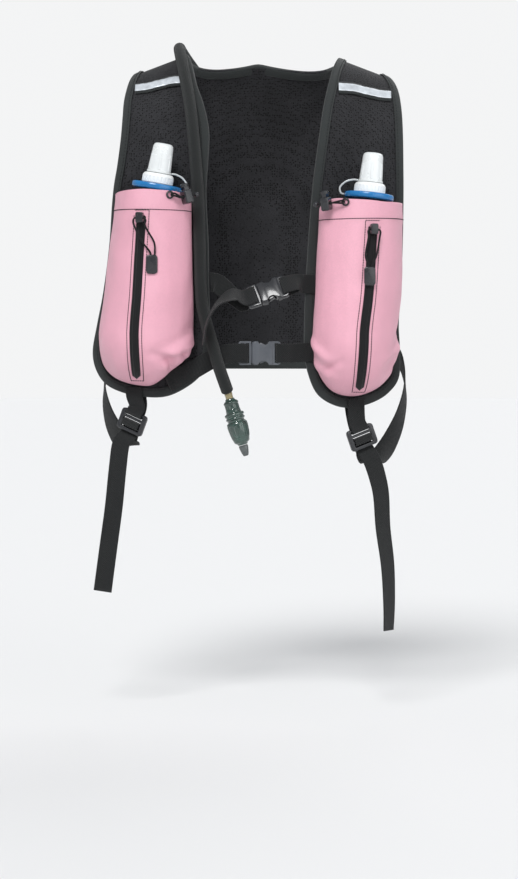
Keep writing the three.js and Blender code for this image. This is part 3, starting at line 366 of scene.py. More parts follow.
def part_gloss(tree, shader, tone, roughness, spread):
    """Roughness that varies with the patches of tone."""
    rough = node(tree, "ShaderNodeMapRange", {"Value": tone.outputs["Mask"]},
                 values={"From Min": 0.3, "From Max": 0.7, "To Min": roughness - spread,
                         "To Max": roughness + spread})
    tree.links.new(rough.outputs["Result"], shader.inputs["Roughness"])


def woven(name, color, across, along, roughness, depth, sheen, low=0.86, high=1.14, patch=22):
    """A woven or knitted finish that follows the cloth both ways, in threads to the metre."""
    material, tree, shader, spot, tone = toned(name, color, patch, low, high)
    weave = node(tree, "ShaderNodeGroup", node_tree=threads)
    weave.inputs["Across"].default_value = across * 2 * math.pi
    weave.inputs["Along"].default_value = along * 2 * math.pi
    tree.links.new(spot.outputs["UV"], weave.inputs["Vector"])
    tree.links.new(weave.outputs["Shade"], tone.inputs["Shade"])
    in_relief(tree, shader, weave.outputs["Height"], 0.8, depth)
    part_gloss(tree, shader, tone, roughness, 0.06)
    shader.inputs["Sheen Weight"].default_value = sheen
    shader.inputs["Sheen Roughness"].default_value = 0.45
    shader.inputs["Specular IOR Level"].default_value = 0.22
    return material


HOSE_ROUTE = [
    (-25, -111.4, 7.5), (-27, -90, 8.6), (-37, -66, 10), (-52, -42, 10.4), (-66, -22, 10.2), (-76, -9, 10),
    (-81.5, -1.5, 9.8), (-82.5, 1.5, 9.6), (-80.5, 12, 9.4), (-76.5, 30, 9.4), (-71, 58, 9.3), (-67, 88, 9.1),
    (-63.4, 127, 9), (-61, 165, 9), (-60, 208, 9), (-58.4, 255, 9.2), (-54.5, 278, 11), (-48.4, 299.5, 13.4),
    (-44, 315, 14.2), (-39.8, 330, 14.2), (-32.4, 352.2, 13.4), (-31.5, 354.9, 13.2),
]
hose_line = curve_through([on(*spot) for spot in HOSE_ROUTE], 8)
hose = tube_along("hose_sleeve", hose_line, 6.5, 28)
sleeve_knit = woven("sleeve_knit", (0.020, 0.022, 0.022), 620, 520, 0.86, 0.0005, 0.12)
finished(hose, sleeve_knit, "hose")


# Bite valve
# A moulded silicone valve is pushed on the hose's end. It has grooves round its neck and its bulb, and a
# flattened rubber tip that opens when it is bitten.
def turned(name, profile, sides, bevel):
    """A closed solid of revolution about Z, from rings of radius and height in millimetres."""
    bpy.ops.object.select_all(action="DESELECT")
    radius, height = profile[0]
    bpy.ops.mesh.primitive_circle_add(vertices=sides, radius=radius * MM, fill_type="NGON")
    piece = bpy.context.object
    piece.name = piece.data.name = name
    opened(piece)
    bpy.ops.transform.translate(value=(0, 0, height * MM))
    for r, z in profile[1:]:
        bpy.ops.mesh.extrude_region_move(TRANSFORM_OT_translate={"value": (0, 0, (z - height) * MM)})
        bpy.ops.transform.resize(value=(r / radius, r / radius, 1))
        radius, height = r, z
    shut()
    face_out(piece)
    if bevel:
        apply(piece, "BEVEL", width=bevel * MM, segments=2, limit_method="ANGLE",
              angle_limit=math.radians(28))
    bpy.ops.object.shade_smooth_by_angle(angle=math.radians(35))
    return piece


def put(piece, origin, x, y, z):
    """Sets a piece that was made at the origin on its own three directions, and applies its place."""
    piece.matrix_world = Matrix((x, y, z)).transposed().to_4x4()
    piece.matrix_world.translation = origin * MM
    pick(piece)
    bpy.ops.object.transform_apply(location=True, rotation=True, scale=True)


def stand_at(origin, axis, facing):
    """A frame with z along an axis and y as near as can be to a facing direction."""
    z = axis.normalized()
    y = (facing - z * facing.dot(z)).normalized()
    return origin, y.cross(z), y, z


def in_frame(stand, x, y, z):
    """A place in space from its three distances in a frame."""
    origin, a, b, c = stand
    return origin + a * x + b * y + c * z


def all_in(stand, places):
    return [in_frame(stand, *place) for place in places]


def moulded(name, color, roughness, grain, depth, tone=(0.92, 1.08), transmission=0.0, alpha=1.0, coat=0.0):
    """Moulded plastic or rubber: fine grain, slow changes of tone and of gloss."""
    material, tree, shader, spot, soft = toned(name, color, 45, *tone)
    speckle = node(tree, "ShaderNodeTexNoise", {"Vector": spot.outputs["Object"]},
                   values={"Scale": grain, "Detail": 3.0})
    in_relief(tree, shader, speckle.outputs["Fac"], 0.5, depth)
    part_gloss(tree, shader, soft, roughness, 0.07)
    shader.inputs["Transmission Weight"].default_value = transmission
    shader.inputs["Coat Weight"].default_value = coat
    shader.inputs["Alpha"].default_value = alpha
    return material


def around(face):
    """Where a face lies round a turned piece's axis, in degrees."""
    return math.degrees(math.atan2(face.center.y, face.center.x)) % 360


def inset(piece, chosen, thickness, depth, smooth, each=False):
    """Insets the faces that a test picks, and presses them in or out."""
    opened(piece, "DESELECT")
    shut()
    for face in piece.data.polygons:
        face.select = chosen(face)
    bpy.ops.object.mode_set(mode="EDIT")
    bpy.ops.mesh.inset(thickness=thickness, depth=depth, use_individual=each)
    shut()
    bpy.ops.object.shade_smooth_by_angle(angle=math.radians(smooth))


def squash(piece, share):
    """Flattens a turned piece from front to back."""
    opened(piece)
    bpy.ops.transform.resize(value=(1, share, 1), center_override=(0, 0, 0))
    shut()


valve_way = Vector((18.6, -2, -64)).normalized()
valve_stand = stand_at(on(-30.2, 359.2, 13.1) + valve_way * 0.3, valve_way, Vector((0, -1, 0)))
valve_body = turned("valve_body", [
    (3.6, 4.2), (4.9, 4.8), (5.2, 6.4), (7.0, 7.6), (7.9, 8.6), (8.0, 9.8), (7.5, 10.6), (7.5, 16.2),
    (7.9, 17.2), (8.0, 19.2), (8.2, 20.0), (9.9, 20.5), (10.4, 21.3), (10.4, 23), (9.5, 23.7), (9.5, 25),
    (10.3, 25.6), (10.3, 26.6), (9.4, 27.4), (8.9, 28.2), (8.9, 29.6), (10.3, 30.3), (10.9, 31.4),
    (11.1, 33.5), (10.9, 38), (10.4, 42.5), (9.6, 46.5), (8.7, 49.6), (8.3, 51.2), (7.4, 52.2), (6.0, 52.9),
    (5.5, 53.8), (4.9, 54.9)], 48, 0.3)


def valve_groove(face):
    """The faces of eight grooves round the valve's neck and eight round its bulb."""
    neck, bulb = 0.0108 < face.center.z < 0.0160, 0.0340 < face.center.z < 0.0475
    return abs(face.normal.z) < 0.5 and around(face) % 45 < 21 and (neck or bulb)


inset(valve_body, valve_groove, 0.0005, -0.0005, 30)
put(valve_body, *valve_stand)
valve_silicone = moulded("valve_silicone", (0.040, 0.080, 0.065), 0.13, 500, 0.00003, (0.6, 1.5),
                          transmission=0.45, coat=0.8)
finished(valve_body, valve_silicone, "bite_valve_body")

# The short clear tube between the sleeve and the valve, yellowed a little.
stub = turned("valve_stub", [(3.6, -9), (4.0, -8.8), (4.0, -2), (4.2, -1.6), (4.2, 0.6), (4.0, 1),
                             (4.0, 4.6), (3.6, 4.8)], 36, 0.15)
put(stub, *valve_stand)
amber_tube = moulded("amber_tube", (0.36, 0.30, 0.15), 0.15, 400, 0.00003, (0.8, 1.25), transmission=0.3,
                     coat=0.5)
finished(stub, amber_tube)

valve_tip = turned("valve_tip", [(4.4, 55.3), (4.9, 55.9), (4.8, 58), (4.3, 61), (3.6, 64), (2.9, 66),
                                 (2.2, 66.8), (1.2, 66.9)], 36, 0.2)
squash(valve_tip, 0.66)
put(valve_tip, *valve_stand)
tip_rubber = moulded("tip_rubber", (0.075, 0.085, 0.085), 0.24, 700, 0.00004, (0.75, 1.25),
                     transmission=0.15, coat=0.4)
finished(valve_tip, tip_rubber, "bite_valve_tip")


# Front panels
# Each is 4 mm open spacer mesh, cut to the rounded shape of its chest side and carried from the shoulder
# seam down over the ribs. Tables give edges as shares of the half width and of the panel's length.
SEAM = 0.0013
FRONT = {
    "right": {"sign": -1, "hem_wide": (0.275, 1), "rows": [
        (0, 0.435, 0.758), (0.0069, 0.427, 0.772), (0.0248, 0.41, 0.787), (0.0551, 0.393, 0.801),
        (0.1019, 0.369, 0.815), (0.1598, 0.325, 0.82), (0.2342, 0.292, 0.829), (0.3168, 0.298, 0.848),
        (0.4132, 0.309, 0.876), (0.551, 0.295, 0.896), (0.6887, 0.292, 0.933), (0.7851, 0.281, 0.972)],
        "hem": [(0, 0.865), (0.03, 0.922), (0.12, 0.965), (0.27, 0.989), (0.45, 1), (0.63, 0.997),
                (0.8, 0.968), (0.92, 0.93), (1, 0.876)]},
    "left": {"sign": 1, "hem_wide": (0.275, 0.854), "rows": [
        (0, 0.494, 0.803), (0.0069, 0.486, 0.82), (0.0248, 0.469, 0.84), (0.0551, 0.447, 0.857),
        (0.1019, 0.421, 0.868), (0.1598, 0.393, 0.874), (0.2342, 0.368, 0.876), (0.3168, 0.343, 0.876),
        (0.4132, 0.32, 0.876), (0.551, 0.298, 0.871), (0.6887, 0.281, 0.86), (0.7851, 0.275, 0.846)],
        "hem": [(0, 0.865), (0.01, 0.942), (0.115, 0.986), (0.27, 1.014), (0.48, 1.03), (0.67, 1.025),
                (0.86, 0.992), (0.96, 0.931), (1, 0.865)]},
}


def moved(x, q, direction, distance):
    """The place on the form that lies a distance away along a direction in space."""
    a, b = step_x(x, q), step_q(x, q)
    aa, ab, bb, ad, bd = a.dot(a), a.dot(b), b.dot(b), a.dot(direction), b.dot(direction)
    det = aa * bb - ab * ab
    return x + distance * (ad * bb - bd * ab) / det, q + distance * (bd * aa - ad * ab) / det


def with_inward(edge, sign):
    """Places on an edge, each with the way inwards."""
    line = [form_at(x, q) for x, q in edge]
    return [(x, q, outward(x, q).cross(heading(line, i)).normalized() * -sign) for i,
            (x, q) in enumerate(edge)]


def finer(edge, steps):
    """The same edge with more places on it."""
    return [(p.x, p.y) for p in curve_through([Vector((x, q, 0)) for x, q in edge], steps)]


def net(name, thread, hole, cell, depth):
    """Open spacer mesh: small rounded holes between dark threads."""
    material, tree, shader, spot, tone = toned(name, thread, 26, 0.8, 1.25)
    cells = node(tree, "ShaderNodeTexVoronoi", {"Vector": spot.outputs["Object"]},
                 values={"Scale": 1 / cell, "Randomness": 0.55})
    open_part = node(tree, "ShaderNodeMapRange", {"Value": cells.outputs["Distance"]},
                     values={"From Min": 0.22, "From Max": 0.42, "To Min": 0.0, "To Max": 1.0})
    open_part.interpolation_type = "SMOOTHSTEP"
    fibre = node(tree, "ShaderNodeTexNoise", {"Vector": spot.outputs["Object"]},
                 values={"Scale": 1500.0, "Detail": 2.0})
    light = maths(tree, "MULTIPLY", open_part.outputs["Result"], fibre.outputs["Fac"])
    # The holes are painted far darker than the threads: painted shade inside the mesh's openings.
    shade = node(tree, "ShaderNodeMapRange", {"Value": light},
                 values={"From Max": 0.6, "To Min": hole / max(thread), "To Max": 1.45})
    tree.links.new(shade.outputs["Result"], tone.inputs["Shade"])
    in_relief(tree, shader, light, 0.9, depth)
    shader.inputs["Roughness"].default_value = 0.88
    shader.inputs["Specular IOR Level"].default_value = 0.15
    shader.inputs["Sheen Weight"].default_value = 0.1
    return material


spacer = net("spacer_mesh", (0.019, 0.019, 0.021), 0.0015, 0.0026, 0.0008)
edges = {}


def padding(piece, thickness):
    """Gives a panel its thickness inwards, with soft edges."""
    apply(piece, "SUBSURF", levels=2, render_levels=2)
    face_out(piece)
    outwards = [f.normal.dot(Vector((f.center.x * 0.4, f.center.y, 0))) * f.area for f in piece.data.polygons]
    if sum(outwards) < 0:
        flip(piece)
    apply(piece, "SOLIDIFY", thickness=thickness * MM, offset=-1, use_even_offset=False)


for side, table in FRONT.items():
    sign, rows, hem, (wide_out, wide_in) = table["sign"], table["rows"], table["hem"], table["hem_wide"][::-1]
    q = [max(SEAM, turn_of(drop * FRONT_LENGTH)) for drop, _, _ in rows]
    outer = [(sign * far * HALF_WIDTH, t) for (_, _, far), t in zip(rows, q)]
    inner = [(sign * near * HALF_WIDTH, t) for (_, near, _), t in zip(rows, q)]
    bottom = [(sign * HALF_WIDTH * (wide_out + (wide_in - wide_out) * share), turn_of(drop * FRONT_LENGTH))
              for share, drop in hem]
    edge = outer + bottom + inner[::-1]
    edges[side] = edge
    pulled = [moved(x, t, way, 1.5) for x, t, way in with_inward(edge, sign)]
    count = len(rows)
    ends = zip(pulled[:count], pulled[-count:][::-1], q)
    grid = [[(left[0] + (right[0] - left[0]) * share, t) for share, _ in hem] for left, right, t in ends]
    grid.append(pulled[count:-count])
    panel = cloth("chest_panel_" + side, [[form_at(x, max(t, SEAM)) for x, t in row] for row in grid])
    padding(panel, 4)
    finished(panel, spacer, "front_panel_" + side)


# Bindings of the front panels
# A 20 mm ribbed tape is folded over each panel's raw edge and sewn down with one row of small stitches.
BINDING = [(10, 0.75), (9.7, 1.25), (7.6, 1.5), (4.4, 1.55), (1.8, 1.4), (0.5, 0.8), (0, -0.5), (0, -3.6),
           (0.5, -4.9), (1.8, -5.5), (4.6, -5.6), (9.8, -5.5), (10, -5.05)]
ribbed_tape = woven("ribbed_tape", (0.030, 0.034, 0.034), 480, 900, 0.78, 0.0003, 0.15)


def bound(place, edge, sign, replaced):
    """The tape over an edge, and its row of stitches."""
    line = with_inward(finer(edge, 5), sign)
    rows = [[lifted(*moved(x, q, way, far), lift) for far, lift in BINDING] for x, q, way in line]
    tape = cloth("edge_tape_" + place, rows)
    apply(tape, "SOLIDIFY", thickness=1.0 * MM, offset=1 if tape_turned(tape) else -1, use_even_offset=True)
    apply(tape, "SUBSURF", levels=1, render_levels=1)
    finished(tape, ribbed_tape, replaced)
    seam = [(lifted(*moved(x, q, way, 7.7), 1.75), outward(x, q)) for x, q, way in line]
    sewn("edge_stitches_" + place, seam)


def tape_turned(tape):
    """Whether the folded tape's faces look inwards, at its first face on the outer leg."""
    face = tape.data.polygons[1]
    return face.normal.dot(Vector((face.center.x * 0.3, face.center.y, face.center.z * 0.2 + 0.02))) < 0


def sewn(name, line, length=2.3, gap=1.5, radius=0.32):
    """A row of stitches on places in millimetres: short rounded threads that dip at both ends."""
    total = [0.0]
    for a, b in zip(line, line[1:]):
        total.append(total[-1] + (b[0] - a[0]).length)
    bpy.ops.object.select_all(action="DESELECT")
    points, faces, along, i = [], [], 0.8, 0
    while along + length < total[-1]:
        while total[i + 1] < along + length / 2:
            i += 1
        share = (along + length / 2 - total[i]) / max(total[i + 1] - total[i], 1e-6)
        (a, up_a), (b, up_b) = line[i], line[i + 1]
        middle, way, up = a.lerp(b, share), (b - a).normalized(), up_a.lerp(up_b, share).normalized()
        flat = up.cross(way)
        base = len(points)
        for t, r, lift in ((-0.5, 0.35, -0.25), (-0.3, 1, 0.12), (0.3, 1, 0.12), (0.5, 0.35, -0.25)):
            for turn in (k / 6 * 2 * math.pi for k in range(6)):
                off = (flat * math.cos(turn) + up * math.sin(turn)) * (radius * r)
                points.append((middle + way * (t * length) + up * lift + off) * MM)
        for ring in range(3):
            for k in range(6):
                m = (k + 1) % 6
                faces.append((base + ring * 6 + k, base + ring * 6 + m, base + ring * 6 + 6 + m,
                              base + ring * 6 + 6 + k))
        faces.append(tuple(base + k for k in range(5, -1, -1)))
        faces.append(tuple(base + 18 + k for k in range(6)))
        along += length + gap
    mesh = bpy.data.meshes.new(name)
    mesh.from_pydata(points, [], faces)
    row = bpy.data.objects.new(name, mesh)
    bpy.context.collection.objects.link(row)
    face_out(row)
    bpy.ops.object.shade_smooth()
    finished(row, black_thread)


black_thread = moulded("black_thread", (0.006, 0.006, 0.007), 0.75, 1400, 0.0001)
for side, edge in edges.items():
    bound(side, edge, FRONT[side]["sign"], "binding_front_" + side)


# Flask pockets
# Coated stretch fabric sewn into the panel's binding, filled by the flask, with a 17 mm hem at the mouth.
# Its tables give the angles at its two side seams, its mouth, its width and fullness, and its lower edge.
RAD = math.pi / 180
COLUMNS = 10
COLUMN_WIDE = 12
CROWN = 60
POCKET = {
    "right": {
        "feet": (33, 10), "hem_line": 165,
        "rim": [149.5, 150, 148, 146.5, 145.5, 145, 146, 147, 150, 157, 160],
        "rows": [(150, 0.85, 0.393, 1), (165, 0.854, 0.393, 1), (215, 0.888, 0.388, 1.01),
                 (255, 0.916, 0.382, 1.02), (295, 0.95, 0.382, 0.96)],
        "hem": [(166, 312), (165, 324), (160, 335), (151, 343), (139, 348), (126, 350.5), (114, 350.5),
                (105, 345), (98, 336.5), (88, 328.5), (78, 319)],
        "zip": {"top": 171, "bottom": 342, "column": (4.9, 5)},
        # Folds: from and to (column, drop), height and half width in millimetres.
        "folds": [((6.3, 322), (8.9, 300), 3.4, 5), ((6.5, 333), (9.3, 316), 3.0, 4.5),
                  ((6.1, 318), (7.6, 326), -5.0, 4.5), ((7.2, 317), (9.4, 305), 3.4, 3.2),
                  ((7.0, 324), (7.6, 334), -4.5, 3.2), ((7.8, 312), (8.8, 322), -2.6, 3.5),
                  ((3.9, 200), (3.6, 330), -1.4, 8), ((6.2, 210), (6.4, 300), 1.2, 9),
                  ((6.6, 311), (9.2, 288), -1.8, 7), ((7.4, 250), (7.9, 190), 0.8, 14),
                  ((1.6, 180), (2.6, 300), 0.7, 16), ((3.5, 345), (4.2, 322), 0.9, 5),
                  ((5.9, 347), (5.7, 335), 1.0, 3.5), ((2.4, 338), (3.2, 318), -0.8, 6),
                  ((0.9, 170), (2.2, 157), 0.7, 4), ((8.6, 185), (7.6, 168), 0.8, 5),
                  ((9.2, 230), (8.2, 262), -0.8, 8)],
    },
    "left": {
        "feet": (35, 18), "hem_line": 174.5,
        "rim": [158, 158.5, 158, 158, 158, 156.5, 155.5, 154.5, 157, 163, 166],
        "rows": [(155, 0.86, 0.362, 1), (165, 0.86, 0.362, 1), (215, 0.856, 0.348, 1.01),
                 (255, 0.848, 0.337, 1.02), (295, 0.826, 0.323, 0.96)],
        "hem": [(141, 312), (140.5, 326), (137, 340), (129, 351), (117, 358), (104, 361.5), (91, 361),
                (79, 356.5), (70.5, 347.5), (64.5, 334), (62, 316)],
        "zip": {"top": 182, "bottom": 354, "column": (4.75, 5)},
        "folds": [((6.6, 330), (8.9, 306), 3.0, 5), ((6.8, 342), (9.2, 324), 2.6, 4.5),
                  ((6.4, 326), (7.7, 335), -4.2, 4.5), ((1.0, 318), (2.2, 332), -3.0, 3.2),
                  ((0.8, 304), (3.2, 322), 2.6, 3.4), ((7.4, 318), (9.2, 300), 2.6, 3.4),
                  ((3.6, 215), (3.4, 340), -1.4, 8), ((1.2, 300), (2.6, 345), 2.2, 5),
                  ((1.8, 296), (3.0, 335), -2.0, 4.5), ((1.4, 200), (2.2, 320), 0.8, 15),
                  ((7.6, 270), (8.1, 205), 0.7, 13), ((3.3, 352), (3.9, 332), 0.9, 5),
                  ((1.1, 181), (2.3, 168), 0.7, 4), ((8.4, 196), (7.5, 178), 0.8, 5),
                  ((0.8, 285), (2.1, 305), -1.2, 8)],
    },
}


def along_table(values, place):
    """A smooth value between the entries of a list."""
    i = min(int(place), len(values) - 2)
    return between(four_round(values, i), place - i)


def in_table(rows, value, column):
    """A smooth value of one column, at a height between the rows' own."""
    drops = [row[0] for row in rows]
    i = max([k for k, drop in enumerate(drops[:-1]) if drop <= value] or [0])
    share = max(0.0, min(1.0, (value - drops[i]) / (drops[i + 1] - drops[i])))
    return along_table([row[column] for row in rows], i + share)


def lower_edge(side, column):
    """How far below the shoulder line the pocket's lower edge lies."""
    return along_table([drop for _, drop in POCKET[side]["hem"]], column)


def pocket_form(side, column, drop):
    """The pocket's outer face before its folds, in millimetres."""
    table, sign = POCKET[side], FRONT[side]["sign"]
    feet, rows, hem = table["feet"], table["rows"], table["hem"]
    last = rows[-1][0]
    level = min(drop, last)
    outer, inner = in_table(rows, level, 1) * HALF_WIDTH, in_table(rows, level, 2) * HALF_WIDTH
    crown = in_table(rows, level, 3) * CROWN
    turn = 180 + feet[0] - column / COLUMNS * (180 + feet[0] + feet[1])
    foot = math.sin(feet[0 if turn > 90 else 1] * RAD)
    wide = (outer + inner) / 2 - (outer - inner) / 2 * math.cos(turn * RAD)
    q = turn_of(level)
    lean = form_at(wide, q).y - form_at((outer + inner) / 2, q).y
    lift = 0.3 + crown * (math.sin(turn * RAD) + foot) / (1 + foot) + lean * max(0, math.sin(turn * RAD))
    if drop <= last:
        return form_at(sign * wide, turn_of(drop)) + Vector((0, -lift, 0))
    low, edge = lower_edge(side, column), along_table([wide for wide, _ in hem], column)
    share = min(1, (drop - last) / (low - last))
    angle = math.asin(share)
    far = wide + (edge - wide) * (1 - math.cos(angle))
    raised = Vector((0, -(0.3 + (lift - 0.3) * math.cos(angle)), 0))
    return form_at(sign * far, turn_of(last + (low - last) * share)) + raised


def pocket_way(side, column, drop):
    """Out of the pocket's face, and up along it."""
    drop = min(drop, lower_edge(side, column) - 1.2)
    across = pocket_form(side, min(column + 0.1, 10), drop) - pocket_form(side, max(column - 0.1, 0), drop)
    up = (pocket_form(side, column, drop - 1) - pocket_form(side, column, drop + 1)).normalized()
    out = (across * -FRONT[side]["sign"]).cross(up).normalized()
    return out, up


def fold_height(side, column, drop):
    """How far folds and small creases lift the cloth, fading out at the seams."""
    height = 0.0
    for (c0, d0), (c1, d1), tall, half in POCKET[side]["folds"]:
        ax, ay, px, py = (c1 - c0) * COLUMN_WIDE, d1 - d0, (column - c0) * COLUMN_WIDE, drop - d0
        t = max(0.0, min(1.0, (px * ax + py * ay) / (ax * ax + ay * ay)))
        away = math.hypot(px - ax * t, py - ay * t) / half
        if away < 2.6:
            height += tall * math.exp(-away * away) * math.sin(math.pi * (0.12 + 0.76 * t)) ** 0.7
    height += 0.55 * noise.noise(Vector((column * 0.9, drop * 0.014, 3.1 if side == "right" else 8.4)))
    height += 0.35 * noise.noise(Vector((column * 2.1, drop * 0.05, 5.2)))
    seam = min(1, column / 0.8, (COLUMNS - column) / 0.8)
    return height * max(0, seam) * max(0, min(1, (lower_edge(side, column) - drop) / 8))


def pocket_at(side, column, drop, lift=0.0):
    """A place on the pocket's cloth with its folds, or a distance off it."""
    out, _ = pocket_way(side, column, drop)
    return pocket_form(side, column, drop) + out * (fold_height(side, column, drop) + lift)


def column_near(side, x, drop):
    """The column of a pocket's face that lies nearest to a distance from the middle line."""
    low, high = 0.6, 9.4
    for _ in range(24):
        middle = (low + high) / 2
        if abs(pocket_form(side, middle, drop).x) > x:
            low = middle
        else:
            high = middle
    return low


def coated(name, color):
    """A thin matt coat over a fine knit: soft sheen, tiny grain, gentle changes of tone."""
    material = woven(name, color, 1500, 1500, 0.44, 0.00008, 0.08, 0.955, 1.04, 30)
    shader = material.node_tree.nodes["Principled BSDF"]
    shader.inputs["Sheen Roughness"].default_value = 0.3
    shader.inputs["Specular IOR Level"].default_value = 0.6
    return material


pink = coated("pink_coated_fabric", (0.79, 0.395, 0.49))
for side in ("right", "left"):
    table = POCKET[side]
    columns = [k / 7 for k in range(71)]
    last = table["rows"][-1][0]
    rows = []
    rims = [along_table(table["rim"], c) for c in columns]
    lows = [lower_edge(side, c) for c in columns]
    for k in range(41):
        rows.append([pocket_at(side, c, rim + (last - rim) * k / 40) for c, rim in zip(columns, rims)])
    for turn in range(3, 91, 3):
        share = math.sin(turn * RAD)
        rows.append([pocket_at(side, c, last + (low - last) * share) for c, low in zip(columns, lows)])
    pocket = cloth("flask_pocket_" + side, rows)
    face_out(pocket, -1)
    apply(pocket, "SUBSURF", levels=1, render_levels=1)
    apply(pocket, "SOLIDIFY", thickness=1.5 * MM, offset=-1, use_even_offset=False)
    finished(pocket, pink, "pocket_" + side)

    # The hem is turned down once and held by one row of black stitches.
    line = []
    for k in range(120):
        c = 0.25 + 9.5 * k / 119
        drop = table["hem_line"] + 0.25 * c
        line.append((pocket_at(side, c, drop, 0.12), pocket_way(side, c, drop)[0]))
    sewn("pocket_hem_stitches_" + side, line, 2.4, 0.5, 0.5)


# Pocket zips
# A reverse coil zip in a 10 mm slot: black tape with a low ridge where the coil lies behind it. A box of
# black stitches runs round the slot, 3 mm outside the tape.
ZIP_SECTION = [(-5, 0.25), (-4.8, 0.75), (-3.4, 0.85), (-2.0, 0.9), (-1.7, 1.5), (-0.9, 1.85), (0, 1.65),
               (0.9, 1.85), (1.7, 1.5), (2.0, 0.9), (3.4, 0.85), (4.8, 0.75), (5, 0.25)]
zip_tape = woven("zip_tape", (0.010, 0.010, 0.011), 900, 900, 0.72, 0.0002, 0.08)
for side in ("right", "left"):
    spec = POCKET[side]["zip"]

    def zip_spot(x, drop, lift):
        """A place a distance across from the zip's middle line, on the pocket or off it."""
        share = (drop - spec["top"]) / (spec["bottom"] - spec["top"])
        middle = spec["column"][0] + (spec["column"][1] - spec["column"][0]) * share
        level = min(drop, 330)
        step = (pocket_form(side, middle + 0.5, level) - pocket_form(side, middle - 0.5, level)).length
        return pocket_at(side, middle + x / step, drop, lift)

    stops = [spec["top"] + (spec["bottom"] - spec["top"]) * k / 60 for k in range(61)]
    rows = []
    for drop in stops:
        end = min(drop - spec["top"], spec["bottom"] - drop)
        half = 5 * math.sqrt(max(0.05, 1 - max(0, (3.5 - end) / 3.5) ** 2))
        rows.append([zip_spot(x * half / 5, drop, lift) for x, lift in ZIP_SECTION])
    tape = cloth("pocket_zip_" + side, rows)
    face_out(tape, -1)
    apply(tape, "SOLIDIFY", thickness=0.5 * MM, offset=-1)
    finished(tape, zip_tape, "zip_tape_" + side)

    above, below = spec["top"] - 4, spec["bottom"] + 3
    box = [(x, above) for x in (-8, -4, 0, 4, 8)] + [(8, d) for d in stops[2::3]] + [(8, below)]
    box += [(x, below) for x in (4, 0, -4, -8)] + [(-8, d) for d in stops[2::3][::-1]] + [(-8, above)]
    line = []
    for (x0, d0), (x1, d1) in zip(box, box[1:]):
        for t in (0, 0.5):
            x, drop = x0 + (x1 - x0) * t, d0 + (d1 - d0) * t
            column = spec["column"][0] + x / 13
            line.append((zip_spot(x, drop, 0.12), pocket_way(side, column, min(drop, 340))[0]))
    sewn("zip_stitches_" + side, line, 2.2, 0.45, 0.45)


# Small moulded fittings
# Sliders, pull tabs, eyelets, cord locks and cord ends are injection moulded in black plastic, with rounded
# edges. The sliders run on the zips, and the eyelets are set in the hem at each pocket's mouth.
black_plastic = moulded("black_plastic", (0.016, 0.017, 0.020), 0.27, 1100, 0.00004, (0.8, 1.3), coat=0.2)


def rounded(name, replaced, width, material, body="root"):
    """A moulded fitting: its solid with its edges rounded to a width."""
    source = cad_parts[replaced]
    piece = source.copy()
    piece.data = source.data.copy()
    piece.parent = None
    piece.matrix_world = source.matrix_world
    piece.name = piece.data.name = name
    bpy.context.collection.objects.link(piece)
    piece.hide_set(False)
    piece.hide_render = False
    for key in list(piece.keys()):
        del piece[key]
    pick(piece)
    bpy.ops.object.transform_apply(location=True, rotation=True, scale=True)
    opened(piece)
    bpy.ops.mesh.remove_doubles(threshold=0.00002)
    bpy.ops.mesh.dissolve_limited(angle_limit=math.radians(4))
    shut()
    apply(piece, "BEVEL", width=width * MM, segments=2, limit_method="ANGLE", angle_limit=math.radians(32),
          use_clamp_overlap=True)
    bpy.ops.object.shade_smooth_by_angle(angle=math.radians(40))
    piece.data.materials.clear()
    finished(piece, material, replaced, body)


FITTINGS = [("slider_", "zip_slider_", 0.35), ("pull_tab_", "zip_pull_tab_", 0.5),
            ("mouth_eyelet_", "eyelet_", 0.15), ("lock_barrel_", "cord_lock_barrel_", 0.45),
            ("lock_plunger_", "cord_lock_plunger_", 0.3), ("cord_stop_", "cord_end_ball_", 0.3)]
for side in ("right", "left"):
    for name, replaced, edge_width in FITTINGS:
        body = "plunger_" + side if name == "lock_plunger_" else "root"
        rounded(name + side, replaced + side, edge_width, black_plastic, body)


# Pull cords and cinch cords
# Thin braided cords: a loop runs from each slider's bail to its tab, and a doubled elastic from each eyelet
# through its cord lock.
braid = woven("braided_cord", (0.007, 0.007, 0.008), 1300, 900, 0.7, 0.0003, 0.1)
PULLS = {
    "right": {"slider": 175, "tab": (110.4, 223.6), "over": 0.3, "left": (119.5, 200), "right": (108.5, 200),
              "eyelet": (92, 151), "lock": (80.5, 152.5), "way": (0.83, 0.48, 0.18),
              "barrel": (-0.45, -0.1, 0.9)},
    "left": {"slider": 187, "tab": (115, 236), "over": 2.4, "left": (111, 214), "right": (121.5, 214),
             "eyelet": (91.2, 158.6), "lock": (76.3, 160), "way": (-0.9, 0.42, -0.08),
             "barrel": (-0.35, 0, 0.93)},
}


def pocket_stand(side, column, drop, height):
    """A frame on the pocket before its folds: across it, up along it and out."""
    out, up = pocket_way(side, column, drop)
    across = up.cross(out)
    return pocket_form(side, column, drop) + out * height, across, up, out


